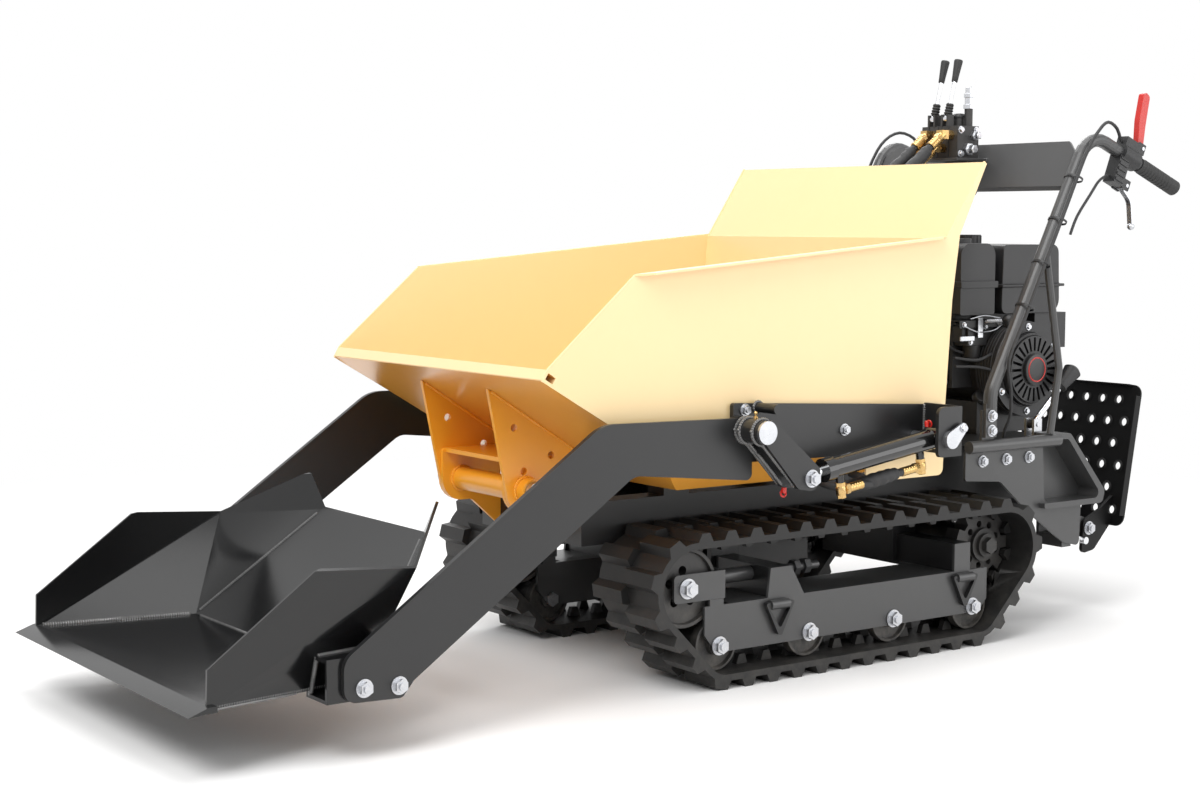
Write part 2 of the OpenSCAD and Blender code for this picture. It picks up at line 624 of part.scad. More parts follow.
plate_bolts = [pivot + [21, 33], pivot + [263, -17], pivot + [500, 2]];
module hopper_bolts() color(plain_zinc) place() {
  pin_out = hinge_plate_w / 2 + 40;
  bar(-pin_out, pin_out, hinge, hinge_pin_d / 2);
  both() {
    bar(hinge_plate_w / 2 + 26 + seat_gap, pin_out, hinge, hinge_pin_d / 2 + 6);
    for (p = plate_bolts) bolt_head(plate_x, p, 9, 7);
    bar(cap_x, cap_x + 6, pivot, pivot_d / 2 + 6);
    bar(side_x + 0.5, hub_out + 8, base_pin, cylinder_pin_d / 2);
    bar(hub_out + 8, hub_out + 14, base_pin, cylinder_pin_d / 2 + 7);
    bolt_head(tip_ear_x + 9, tip_pin, 13, 8);
  }
}

arm_bolts = [[-1103, 118], [-1040, 114]];
module arm_plate() {
  toe = [-1138, edge_z - 8];
  plate(arm_in_x, arm_t, outline([[toe[0], toe[1], 22], [toe[0], toe[1] + 68, 34],
    [pivot[0] - 312, pivot[1] + 27, 80],
    [pivot[0] + 16, pivot[1] + 21, 6], [pivot[0] + 16, pivot[1] - 92, 12],
      [pivot[0] - 245, pivot[1] - 65, 40],
    [toe[0] + 126, toe[1] + 22, 12], [toe[0] + 104, toe[1] - 4, 12]]));
}
module loader_arm(s) color(paint_black) place() on_side(s) difference() {
  crank = outline([[pivot[0] - 26, pivot[1] + 8, 14], [pivot[0] + 18, pivot[1] + 22, 14],
    [rod_pin[0] + 24, rod_pin[1] + 14, 14],
    [rod_pin[0] + 10, rod_pin[1] - 24, 14], [rod_pin[0] - 30, rod_pin[1] - 18, 14]]);
  union() {
    arm_plate();
    bar(arm_in_x, hub_out, pivot, pivot_d / 2 + 7);
    plate(arm_x - 1, ear_in - arm_x + 1, crank);
    plate(ear_out, 10, crank);
    box([ear_in - 1, pivot[0] + 16, pivot[1] - 42], [ear_out + 1, pivot[0] + 40, pivot[1] - 14]);
  }
  bar(arm_in_x - 1, hub_out + 1, pivot, pivot_d / 2 + run_gap);
}

// Corners of the bucket's left half, [x, y, z]
bucket_x = bucket_w / 2;
bowl = [[bucket_x, -edge_y + 34, edge_z + 5], [bucket_x, -edge_y + 36, edge_z + 67],
  [bucket_x, -edge_y + 220, edge_z + 200],
  [bucket_x, -edge_y + 401, edge_z + 187], [bucket_x - 50, -edge_y + 326, edge_z + 3],
  [chute_w / 2 + 53, -edge_y + 523, edge_z + 269], [chute_w / 2, -edge_y + 527, edge_z + 204]];
bowl_mid = [0, -edge_y + 250, edge_z + 120];
bowl_left = concat([[bowl[0], bowl[1], bowl[2]], [bowl[0], bowl[3], bowl[4]]],
  split([bowl[4], bowl[3], bowl[5], bowl[6]], bowl_mid));
bowl_closed = concat(bowl_left, [for (f = bowl_left) others(f)],
  [[bowl[0], bowl[4], other(bowl[4])], [bowl[4], bowl[6], other(bowl[6])]]);
stub_in = bucket_x - 44;
module bucket_stub() difference() {
  box([stub_in, -1163, edge_z - 8], [arm_in_x - seat_gap, -1030, edge_z + 63]);
  box([stub_in + 6, -1164, edge_z - 2], [arm_in_x - seat_gap - 6, -1029, edge_z + 57]);
}
module loader_bucket() color(paint_black) place() {
  wrap_shell(concat(bowl, others(bowl)), bowl_closed, bowl_mid, bucket_t);
  both() difference() {
    bucket_stub();
    hull() polyhedron(concat(bowl, others(bowl)), [[for (i = [0:2 * len(bowl) - 1]) i]]);
  }
  plate(-edge_w / 2, edge_w, [[-edge_y, edge_z], [-edge_y + 48, edge_z + 3], [-edge_y + 48, edge_z + 12],
    [-edge_y + 34, edge_z + 12]]);
}
module loader_bolts() color(plain_zinc) place() both() {
  for (p = arm_bolts) bolt_head(arm_x, p, 12, 9);
  bolt_head(ear_out + 10, rod_pin, 13, 10);
}

// Cylinder along the line from a to b, in the Y and Z plane
module along(x, a, b) translate([x, a[0], a[1]]) rotate([atan2(b[1] - a[1], b[0] - a[0]), 0,
  0]) children();
module ram(x0, x1, r) translate([0, x0, 0]) rotate([-90, 0, 0]) cylinder(r = r, h = x1 - x0);

lift_l = norm(rod_pin - base_pin);
lift_barrel_l = lift_l - 52;
module lift_barrel(s) color(paint_black) place() on_side(s) along(eye_x, base_pin, rod_pin) difference() {
  union() {
    bar(-eye_w / 2, eye_w / 2, [0, 0], cylinder_pin_d / 2 + 11);
    ram(14, lift_barrel_l, lift_d / 2);
    ram(lift_barrel_l - 22, lift_barrel_l, lift_d / 2 + 3);
    for (y = [44, lift_barrel_l - 40]) translate([0, y, 0]) cylinder(r = 8, h = lift_d / 2 + 12);
  }
  bar(-eye_w, eye_w, [0, 0], cylinder_pin_d / 2 + run_gap);
  ram(52, lift_barrel_l + 1, lift_rod_d / 2 + run_gap);
}
module lift_rod(s) color(plain_zinc) place() on_side(s) along(eye_x, base_pin, rod_pin) {
  ram(70, lift_l, lift_rod_d / 2);
  bar(-eye_w / 2, eye_w / 2, [lift_l, 0], 19);
}
tip_l = norm(tip_pin - tip_base);
tip_barrel_l = tip_l - 48;
module tip_barrel() color(paint_black) place() along(0, tip_base, tip_pin) difference() {
  union() {
    bar(-tip_eye_w / 2, tip_eye_w / 2, [0, 0], cylinder_pin_d / 2 + 12);
    ram(12, 40, tip_d / 2 - 11);
    ram(38, tip_barrel_l, tip_d / 2);
  }
  bar(-tip_eye_w, tip_eye_w, [0, 0], cylinder_pin_d / 2 + run_gap);
  ram(62, tip_barrel_l + 1, tip_rod_d / 2 + run_gap);
}
module tip_rod() color(plain_zinc) place() along(0, tip_base, tip_pin) {
  ram(74, tip_l, tip_rod_d / 2);
  bar(-tip_eye_w / 2, tip_eye_w / 2, [tip_l, 0], 22);
}

module gearbox() color(paint_black) place() difference() {
  union() {
    box([-beam_in, 335, 130], [beam_in, 480, beam_low + 40]);
    both() bar(beam_in - 1, track_x - 28 - seat_gap, [end_y, end_wheel_z], 36);
    both() bar(beam_in - 1, beam_in + 14, [end_y, end_wheel_z], 56);
    bar_y([0, 500, 240], 60, 30);
  }
  both() bar(beam_in - 30 - seat_gap, track_x, [end_y, end_wheel_z], drive_shaft_d / 2 + run_gap);
}

module engine() color(paint_black) place() {
  c = engine_c;
  box([-120, 540, deck_z], [140, 745, c[1] - 70]);
  difference() {
    union() {
      bar(-90, 130, c, 96);
      bar(129, 186, c, recoil_d / 2 + 24);
      box([-110, c[0] - 150, c[1] - 40], [110, c[0] - 60, c[1] + 95]);
    }
    for (x = [-100:14:110]) box([x, c[0] - 160, c[1] - 30], [x + 5, c[0] - 118, c[1] + 85]);
  }
  box([-60, c[0] - 90, c[1] + 60], [120, c[0] + 60, c[1] + 118]);
  box([-150, c[0] + 60, c[1] + 40], [150, c[0] + 160, c[1] + 118]);
  bar(-150, -89, c, 28);
  both() box([80, 520, deck_z], [110, 765, deck_z + 12]);
}
module recoil_cover() color(paint_black) place() translate([0, engine_c[0], engine_c[1]]) difference() {
  union() {
    bar(186, 200, [0, 0], recoil_d / 2);
    bar(199, 206, [0, 0], recoil_d / 2 - 6);
    bar(205, 212, [0, 0], 34);
  }
  for (a = [0:15:345]) rotate([a, 0, 0]) box([192, -3, 40], [220, 3, recoil_d / 2 - 9]);
}
tank_y = [588, 772];
tank_z = [engine_c[1] + 118, 803];
module fuel_tank() color(paint_black) place() {
  difference() {
    union() {
      plate(-130, 290, outline([[tank_y[0], tank_z[0], 16], [tank_y[1], tank_z[0], 30],
        [tank_y[1] - 6, tank_z[1], 18],
        [tank_y[0] + 4, tank_z[1], 12]]));
      plate(-138, 306, outline([[tank_y[0] - 6, tank_z[0] + 58, 2], [tank_y[1] + 6, tank_z[0] + 58, 2],
        [tank_y[1] + 6, tank_z[0] + 64, 2], [tank_y[0] - 6, tank_z[0] + 64, 2]]));
      translate([-40, 690, tank_z[1] - 2]) cylinder(d = fuel_cap_d - 16, h = 14);
    }
    translate([-40, 690, tank_z[1] - 40]) cylinder(d = fuel_cap_d - 24, h = 60);
  }
}
module fuel_cap() color(rubber_black) place() translate([-40, 690, tank_z[1] + seat_gap]) difference() {
  union() {
    cylinder(d = fuel_cap_d - 4, h = 20);
    for (a = [0:30:330]) rotate(a) translate([fuel_cap_d / 2 - 2, 0, 0]) cylinder(r = 2, h = 18,
      $fn = 16);
  }
  translate([0, 0, -1]) cylinder(d = fuel_cap_d - 16 + 2 * run_gap, h = 14);
}
module air_filter() color(rubber_black) place() {
  plate(10, 145, outline([[468, engine_c[1] + 118, 6], [572, engine_c[1] + 118, 6], [572, 806, 26],
    [468, 806, 26]]));
  plate(4, 157, outline([[464, engine_c[1] + 176, 2], [576, engine_c[1] + 176, 2],
    [576, engine_c[1] + 190, 2],
    [464, engine_c[1] + 190, 2]]));
  translate([90, 522, 806]) cylinder(r = 30, h = 10);
  box([40, 500, engine_c[1] + 95], [110, engine_c[0] - 90 - seat_gap, engine_c[1] + 119]);
}

// Handlebars: a foot, a raked post, a rounded corner and a dropped grip
function grip_point(s, h = 0) = handle_corner + s * [cos(grip_drop),
  -sin(grip_drop)] + h * [sin(grip_drop), cos(grip_drop)];
handle_x = handle_gauge / 2;
post_foot = [foot_y, handle_corner[1] - (handle_corner[0] - foot_y) * handle_rise[1] / handle_rise[0]];
foot_low = rail_z + rail_r + 5;
module on_grip(x) translate([x, handle_corner[0], handle_corner[1]]) rotate([-grip_drop, 0,
  0]) children();
module handlebars() color(paint_black) place() both() {
  tail = grip_point(grip_reach);
  rail_top = rail_z + rail_r;
  sweep(bent_path([for (p = [[foot_y, foot_low + 60], post_foot, handle_corner, tail]) [handle_x, p[0],
    p[1]]], 60), handle_d / 2, 16);
  box([handle_x - 4, foot_y - 16, foot_low], [handle_x + 4, foot_y + 16, foot_low + 70]);
  brace = [[565, post_foot[1] + 155 * handle_rise[1] / handle_rise[0]], [615, 545], [592, rail_top + 2]];
  sweep(bent_path([for (p = brace) [handle_x, p[0], p[1]]], 30), 8, 10);
}
module hand_grips() color(rubber_black) place() both() on_grip(handle_x) translate([0, 171,
  0]) rotate([-90, 0, 0])
  rotate_extrude() {
    l = grip_reach + grip_cap - 171;
    b = handle_d / 2 + seat_gap;
    polygon(concat([[0, l], [0, l - 5], [b, l - 5], [b, 0], [grip_d / 2 - 1, 0]],
      [for (k = [0:8]) each [[grip_d / 2 - 1, 12 + k * 10], [grip_d / 2, 14 + k * 10],
        [grip_d / 2, 19 + k * 10],
        [grip_d / 2 - 1, 21 + k * 10]]], [[grip_d / 2, 108], [grip_d / 2, l - grip_round],
          [grip_d / 2 - grip_round, l]]));
  }
clutch_pivot = [158, 30];
steer_pivot = [142, -62];
lever_pin_r = 4;
module lever_mounts() color(rubber_black) place() both() on_grip(handle_x) difference() {
  union() {
    translate([0, 104, 0]) rotate([-90, 0, 0]) cylinder(r = handle_d / 2 + 8, h = 54);
    box([-14, 104, 8], [14, 146, 36]);
    for (x = [-14, 9]) box([x, 145, 17], [x + 5, clutch_pivot[0] + 8, 40]);
    box([-15, 98, -70], [15, 130, -8]);
    for (x = [-15, 10]) box([x, 129, -72], [x + 5, steer_pivot[0] + 8, -50]);
    for (h = [-64:12:-16]) box([-17, 100, h], [17, 126, h + 6]);
  }
  translate([0, 90, 0]) rotate([-90, 0, 0]) cylinder(r = handle_d / 2 + seat_gap, h = 90);
  for (p = [clutch_pivot, steer_pivot]) bar(-30, 30, p, lever_pin_r + run_gap);
}
module clutch_lever() color(lever_red) place() on_grip(handle_x) difference() {
  tip = [126, 148];
  union() {
    bar(-8.6, 8.6, clutch_pivot, 7.6);
    plate(-7, 14, outline([[clutch_pivot[0] - 8, clutch_pivot[1], 3],
      [clutch_pivot[0] + 9, clutch_pivot[1] - 2, 3],
      [clutch_pivot[0] - 4, 80, 60], [tip[0] + 16, tip[1] - 4, 8], [tip[0] - 6, tip[1] + 2, 8],
        [clutch_pivot[0] - 27, 84, 60]]));
  }
  bar(-20, 20, clutch_pivot, lever_pin_r + run_gap);
}
module steering_lever(s) color(plain_zinc) place() on_side(s) on_grip(handle_x) difference() {
  q = steer_pivot;
  union() {
    bar(-9.6, 9.6, q, 8);
    plate(-6, 12, outline([[q[0] - 4, q[1] - 7, 2], [q[0] + 34, q[1] - 22, 30], [q[0] + 58, q[1] - 66, 3],
      [q[0] + 68, q[1] - 64, 3], [q[0] + 46, q[1] - 14, 30], [q[0] + 4, q[1] + 7, 2]]));
    translate([0, q[0] + 63, q[1] - 68]) sphere(r = 8);
  }
  bar(-20, 20, q, lever_pin_r + run_gap);
}

// Cross plate between the posts, and the shelf that carries the valve
module control_panel() color(paint_black) place() {
  low = handle_corner - 130 * handle_rise;
  x1 = handle_x - handle_d / 2 - seat_gap;
  translate([0, low[0], low[1]]) rotate([-atan2(handle_rise[0], handle_rise[1]), 0, 0]) {
    difference() {
      box([-x1, -4, 0], [x1, 4, 108]);
      for (x = [-x1, x1]) translate([x, 0, 108]) rotate([0, 45, 0]) cube([36, 20, 36], center = true);
    }
    box([-x1, -4, 0], [x1, 16, 6]);
  }
  box([-82, 566, shelf_z], [42, low[0] + (shelf_z - low[1]) * handle_rise[0] / handle_rise[1] + 4,
    shelf_z + 6]);
}
valve_y = [575, 640];
valve_z = [shelf_z + 6, shelf_z + 76];
lever_x = [-45, -5];
lever_pivot = [582, valve_z[1] + 16];
port_x = [-58, -34, -10, 14];
module valve_block() color(rubber_black) place() {
  box([-74, valve_y[0], valve_z[0]], [34, valve_y[1], valve_z[1]]);
  for (x = lever_x) for (d = [-11, 6]) box([x + d, lever_pivot[0] - 9, valve_z[1] - 1],
    [x + d + 5, lever_pivot[0] + 9, lever_pivot[1] + 9]);
  for (x = lever_x) translate([x, 618, valve_z[1] - 1]) cylinder(r = 13, h = 22);
  translate([20, 622, valve_z[1] - 1]) cylinder(r = 9, h = 40);
  for (x = lever_x) bar(x - 6.5, x + 6.5, lever_pivot, lever_pin_r);
}
module valve_lever(i) color(plain_zinc) place() translate([lever_x[i], lever_pivot[0],
  lever_pivot[1]]) difference() {
  union() {
    bar(-5.7, 5.7, [0, 0], 8);
    rotate([-14, 0, 0]) {
      cylinder(r = 4, h = 96);
      translate([0, 0, 84]) cylinder(r1 = 6, r2 = 9, h = 44);
      translate([0, 0, 128]) cylinder(r = 8, h = 4);
    }
  }
  bar(-9, 9, [0, 0], lever_pin_r + run_gap);
}
// Elbows and crimped ferrules at the valve's ports; each hose starts at the ferrule's end
ferrule_dir = [0, -0.8, -0.6];
ferrule_l = 46;
function port_z(i) = valve_z[0] + (i % 2 == 0 ? 22 : 50);
function elbow(i) = [port_x[i], valve_y[0] - 26, port_z(i)];
function ferrule_end(i) = elbow(i) + ferrule_l * ferrule_dir;
module hose_fittings() color(gold_zinc) place() for (i = [0:3]) {
  e = elbow(i);
  translate([e[0], valve_y[0], e[2]]) rotate([90, 0, 0]) cylinder(r = 11, h = 14, $fn = 6);
  translate([e[0], valve_y[0] - 13, e[2]]) rotate([90, 0, 0]) cylinder(r = 8, h = 13);
  translate(e) cube(19, center = true);
  translate(e) rotate([90 + atan2(0.6, 0.8), 0, 0]) cylinder(r = 10, h = ferrule_l);
}
hose_route = [[0, -30, -26], [0, -78, -60], [0, -112, -110], [0, -128, -200], [0, -132, -320],
  [0, -130, -440]];
module hydraulic_hoses() color(rubber_black) place() for (i = [0:3]) {
  e = ferrule_end(i);
  x = e + hose_gap * ferrule_dir;
  route = concat([x], [for (p = hose_route) x + p], [[e[0], e[1] - 122, deck_z + hose_gap]]);
  sweep(curve(route, 4), 9, 8);
}
// Cable runs from each lever mount down the post to the deck, [x, y, z] from the post's corner
upper_run = [[0, 102.7, -16.7], [4, 84, 10], [12, 46, 22], [21, 8, 4], [22, -30, -42], [22, -90, -158],
  [22, -150, -274],
  [22, -210, -390], [20, -250, -470], [14, -236, -530], [-6, -214, -586], [-24, -210, -618]];
lower_run = [[0, 67.6, -89], [6, 46, -92], [16, 14, -104], [22, -16, -130], [22, -56, -176],
  [22, -76, -214]];
module control_cables() color(rubber_black) place() both() {
  c = [handle_x, handle_corner[0], handle_corner[1]];
  tail = [handle_x - 30, handle_corner[0] - 208, deck_z + hose_gap];
  sweep(curve(concat([for (p = upper_run) c + p], [tail]), 3), 3.5, 8);
  low = [for (p = lower_run) c + p];
  sweep(curve(low, 3), 3, 8);
}

module rear_guard() color(paint_black) place() {
  both() difference() {
    union() {
      plate(guard_x, guard_t, outline([[352, deck_z - 12, 0], [352, deck_z - 72, 6],
        [455, deck_z - 80, 10], [535, 250, 20],
        [platform_hinge[0] - 150, platform_hinge[1] - 10, 8],
          [platform_hinge[0] - 100, platform_hinge[1] - 22, 10],
        [platform_hinge[0] - 96, 258, 8], [590, 262, 12], [582, deck_z - 12, 0]]));
      bar_y([guard_x + 16, 484, rail_z], 268, rail_r);
      box([guard_x + guard_t - 1, foot_y - 18, rail_z - 10], [handle_x - 4, foot_y + 18, foot_low + 56]);
      plate(loop_x + seat_gap + 4, loop_w,
        outline([[602, rail_z + rail_r, 6], [650, rail_z + rail_r, 14], [764, 276, 16], [756, 250, 12],
        [574, 250, 6], [574, 262, 2], [738, 262, 12], [745, 276, 12], [644, rail_z + 1, 14],
          [602, rail_z + 1, 2]]));
      plate(loop_x + seat_gap, 5, outline([[575, 254, 2], [752, 254, 10], [758, 274, 10],
        [648, rail_z + 6, 10], [575, rail_z + 6, 2]]));
      plate(hinge_ear_x, 8, outline([[platform_hinge[0] - 150, platform_hinge[1] - 22, 4],
        [platform_hinge[0] + 8, platform_hinge[1] - 22, 8],
        [platform_hinge[0] + 22, platform_hinge[1] + 6, 12],
          [platform_hinge[0] - 6, platform_hinge[1] + 24, 12],
        [platform_hinge[0] - 150, platform_hinge[1] + 60, 4]]));
      box([hinge_ear_x + 7, platform_hinge[0] - 148, platform_hinge[1] - 22],
        [guard_x + 1, platform_hinge[0] - 120, platform_hinge[1] + 4]);
    }
    bar(hinge_ear_x - 1, hinge_ear_x + 10, platform_hinge, 8 + run_gap);
    bar(hinge_ear_x - 1, hinge_ear_x + 10, strut_base, 6 + run_gap);
  }
  // Tow bar between the rear ends of the beams
  box([-beam_out, 640, 214], [beam_out, 652, beam_top]);
  bar_y([0, 695, 236], 86, 16);
  bar_y([0, 712, 236], 26, 26);
}

hinge_ear_x = 214;
ear_gap_x = hinge_ear_x + 8 + seat_gap;
strut_base = platform_hinge + [-128, 24];
strut_pin = platform_hinge + [-20, -25];
// Plane of the folded platform: its lower edge, and the frame along it
platform_foot = platform_hinge + [71, 0];
module on_platform() translate([0, platform_foot[0], platform_foot[1]]) rotate([-platform_lean, 0,
  0]) children();
module platform() color(paint_black) place() {
  w = platform_w / 2;
  rows = 6;
  step = (platform_h - 70) / (rows - 1);
  pitch = 46;
  difference() {
    union() {
      on_platform() {
        translate([0, 4, 0]) rotate([90, 0, 0]) linear_extrude(4) polygon(outline([[-w, 0, 22],
          [w, 0, 22], [w, platform_h, 22],
          [-w, platform_h, 22]]));
        for (x = [-w, w - 3]) box([x, -14, 24], [x + 3, 1, platform_h - 24]);
        for (z = [0, platform_h - 3]) box([-w + 24, -14, z], [w - 24, 1, z + 3]);
      }
      both() plate(ear_gap_x, 8, outline([[platform_hinge[0] - 20, platform_hinge[1] - 56, 10],
        [platform_hinge[0] + 20, platform_hinge[1] - 50, 20],
        [platform_foot[0] + 2, platform_foot[1] + 4, 8], [platform_foot[0] + 14, platform_foot[1] + 70,
          4],
        [platform_hinge[0] + 40, platform_hinge[1] + 40, 10],
          [platform_hinge[0] - 16, platform_hinge[1] + 16, 12]]));
    }
    bar(-300, 300, platform_hinge, 8 + run_gap);
    on_platform() for (r = [0:rows - 1], k = [0:10])
      let (x = (k - 5) * pitch + (r % 2 == 0 ? 0 : pitch / 2))
      if (abs(x) < w - 26) translate([x, 10, 35 + r * step]) rotate([90, 0,
        0]) cylinder(d = platform_hole_d, h = 20);
  }
}
strut_x = ear_gap_x + 14 + seat_gap;
strut_l = norm(strut_pin - strut_base);
module strut_tube() color(rubber_black) place() along(strut_x, strut_base, strut_pin) difference() {
  union() {
    bar(ear_gap_x - strut_x, 6, [0, 0], 10);
    ram(7, strut_l - 38, 9);
  }
  bar(-30, 20, [0, 0], 6 + run_gap);
  ram(20, strut_l, 4 + run_gap);
}
module strut_rod() color(plain_zinc) place() along(strut_x, strut_base, strut_pin) {
  ram(42, strut_l, 4);
  bar(-6, 6, [strut_l, 0], 8);
}
gear_pivot = [615, deck_z + 26];
gear_x = 232;
module gear_lever() color(rubber_black) place() difference() {
  union() {
    bar(gear_x - 7.7, gear_x + 7.7, gear_pivot, 10);
    translate([gear_x, gear_pivot[0], gear_pivot[1]]) rotate([-48, 0, 0]) {
      cylinder(r = 6, h = 130);
      translate([0, 0, 116]) cylinder(r1 = 12, r2 = 20, h = 46);
      translate([0, 0, 162]) cylinder(r1 = 20, r2 = 14, h = 6);
    }
  }
  bar(gear_x - 20, gear_x + 20, gear_pivot, 5 + run_gap);
}

// Axles, pins and bolts that stay with the chassis
handle_bolts = [[foot_y, foot_low + 14], [foot_y, foot_low + 44]];
guard_bolts = [[400, 362], [470, 362], [538, 362]];
module chassis_bolts() color(plain_zinc) place() {
  both() {
    translate([track_x, 0, 0]) {
      for (y = road_y) {
        bar(-plate_out - 6, plate_out + 1, [y, road_z], axle_d / 2);
        bolt_head(plate_out + 0.5, [y, road_z], 14, 11);
        mirror([1, 0, 0]) bar(plate_out, plate_out + 7, [y, road_z], 15, 6);
      }
      bar(-plate_out - 6, plate_out + 1, [-end_y, end_wheel_z], idler_axle_d / 2);
      bolt_head(plate_out + 0.5, [-end_y, end_wheel_z], 15, 12);
      mirror([1, 0, 0]) bar(plate_out, plate_out + 7, [-end_y, end_wheel_z], 17, 6);
    }
    for (p = handle_bolts) bolt_head(handle_x + 4, p, 10, 6);
    for (p = guard_bolts) bolt_head(guard_x + guard_t, p, 10, 7);
    bar(hinge_ear_x - 4, ear_gap_x + 8, platform_hinge, 8);
    bolt_head(ear_gap_x + 8 + seat_gap, platform_hinge, 12, 8);
  }
  bar(-tip_ear_x - 14, tip_ear_x + 14, tip_base, cylinder_pin_d / 2);
  both() bar(tip_ear_x + 10, tip_ear_x + 16, tip_base, cylinder_pin_d / 2 + 5, 6);
  bar(hinge_ear_x - 3, strut_x + 10, strut_base, 6);
  bar(strut_x + 9 + seat_gap, strut_x + 14, strut_base, 9, 6);
  both() on_grip(handle_x) bar(-16, 16, steer_pivot, lever_pin_r);
  on_grip(handle_x) bar(-16, 16, clutch_pivot, lever_pin_r);
  // Bracket and pin of the gear lever
  for (x = [gear_x - 14, gear_x + 8]) box([x, gear_pivot[0] - 12, deck_z],
    [x + 6, gear_pivot[0] + 12, gear_pivot[1] - 12]);
  for (x = [gear_x - 14, gear_x + 8]) box([x, gear_pivot[0] - 12, gear_pivot[1] - 12],
    [x + 6, gear_pivot[0] + 12, gear_pivot[1] + 12]);
  bar(gear_x - 16, gear_x + 16, gear_pivot, 5);
}

main_frame();
track_frames();
track_belt(1);  // track_belt_left
track_belt(-1);  // track_belt_right
gearbox();
engine();
fuel_tank();
air_filter();
recoil_cover();
handlebars();
control_panel();
hand_grips();
lever_mounts();
rear_guard();
valve_block();
hose_fittings();
hydraulic_hoses();
control_cables();
chassis_bolts();
hinge_bracket();
hopper();
hopper_frame();
loader_plates();
hopper_bolts();
loader_arm(1);  // loader_arm_left
loader_arm(-1);  // loader_arm_right
loader_bucket();
loader_bolts();
lift_barrel(1);  // lift_barrel_left
lift_barrel(-1);  // lift_barrel_right
lift_rod(1);  // lift_rod_left
lift_rod(-1);  // lift_rod_right
tip_barrel();
tip_rod();
sprocket(1);  // sprocket_left
sprocket(-1);  // sprocket_right
idler(1);  // idler_left
idler(-1);  // idler_right
road_wheel(1, 0);  // road_wheel_left_1
road_wheel(1, 1);  // road_wheel_left_2
road_wheel(1, 2);  // road_wheel_left_3
road_wheel(1, 3);  // road_wheel_left_4
road_wheel(-1, 0);  // road_wheel_right_1
road_wheel(-1, 1);  // road_wheel_right_2
road_wheel(-1, 2);  // road_wheel_right_3
road_wheel(-1, 3);  // road_wheel_right_4
valve_lever(0);  // valve_lever_lift
valve_lever(1);  // valve_lever_tip
clutch_lever();
steering_lever(1);  // steering_lever_left
steering_lever(-1);  // steering_lever_right
gear_lever();
platform();
strut_tube();
strut_rod();
tie_ring(1, 0);  // tie_ring_left_front
tie_ring(1, 1);  // tie_ring_left_rear
tie_ring(-1, 0);  // tie_ring_right_front
tie_ring(-1, 1);  // tie_ring_right_rear
fuel_cap();
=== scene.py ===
import json
import math

import bpy
import numpy as np
from mathutils import Matrix, Vector


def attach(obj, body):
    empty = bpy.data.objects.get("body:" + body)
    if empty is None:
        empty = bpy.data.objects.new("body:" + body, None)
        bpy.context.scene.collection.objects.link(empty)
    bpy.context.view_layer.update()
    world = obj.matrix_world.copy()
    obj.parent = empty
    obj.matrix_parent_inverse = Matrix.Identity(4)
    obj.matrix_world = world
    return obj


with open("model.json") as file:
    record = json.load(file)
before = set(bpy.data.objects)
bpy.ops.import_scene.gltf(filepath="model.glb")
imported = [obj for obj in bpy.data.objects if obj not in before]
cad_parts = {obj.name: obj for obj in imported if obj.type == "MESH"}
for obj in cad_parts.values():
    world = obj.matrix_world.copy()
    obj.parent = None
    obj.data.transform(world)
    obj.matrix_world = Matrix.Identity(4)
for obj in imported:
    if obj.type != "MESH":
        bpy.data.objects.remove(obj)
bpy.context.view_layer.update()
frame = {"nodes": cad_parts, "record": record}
nodes = frame["nodes"]
print("frame loaded:", len(nodes), "nodes")


def newGroup(name, inputs, outputs):
    # An empty shader group with named sockets; inputs are (name, kind, default), outputs are (name, kind)
    group = bpy.data.node_groups.new(name, "ShaderNodeTree")
    for label, kind, default in inputs:
        socket = group.interface.new_socket(label, in_out="INPUT", socket_type=kind)
        socket.default_value = default
    for label, kind in outputs:
        group.interface.new_socket(label, in_out="OUTPUT", socket_type=kind)
    return group, group.nodes.new("NodeGroupInput"), group.nodes.new("NodeGroupOutput")


def link(tree, a, b):
    tree.links.new(a, b)


def feed(tree, socket, value):
    # Links an output socket to the socket, or sets a plain value on it
    if isinstance(value, bpy.types.NodeSocket):
        link(tree, value, socket)
    else:
        socket.default_value = value


def mathNode(tree, operation, a, b, clamp=False):
    # One Math node; a and b are numbers or output sockets
    node = tree.nodes.new("ShaderNodeMath")
    node.operation = operation
    node.use_clamp = clamp
    feed(tree, node.inputs[0], a)
    feed(tree, node.inputs[1], b)
    return node.outputs[0]


def mixColor(tree, factor, a, b):
    # One Mix node for colours; its sockets 6 and 7 are the two colours
    node = tree.nodes.new("ShaderNodeMix")
    node.data_type = "RGBA"
    for k, value in ((0, factor), (6, a), (7, b)):
        feed(tree, node.inputs[k], value)
    return node.outputs[2]


def noiseNode(tree, vector, scale, detail, rough):
    node = tree.nodes.new("ShaderNodeTexNoise")
    for label, value in (("Vector", vector), ("Scale", scale), ("Detail", detail), ("Roughness", rough)):
        feed(tree, node.inputs[label], value)
    return node.outputs["Fac"]


number, color = "NodeSocketFloat", "NodeSocketColor"
# Detail and roughness of each noise; the middle one is midScale times as fine as the broad one
surfaceNoise = dict(broad=(4.0, 0.6), mid=(5.0, 0.65), fine=(2.0, 0.5), midScale=9.0, gain=2.6)


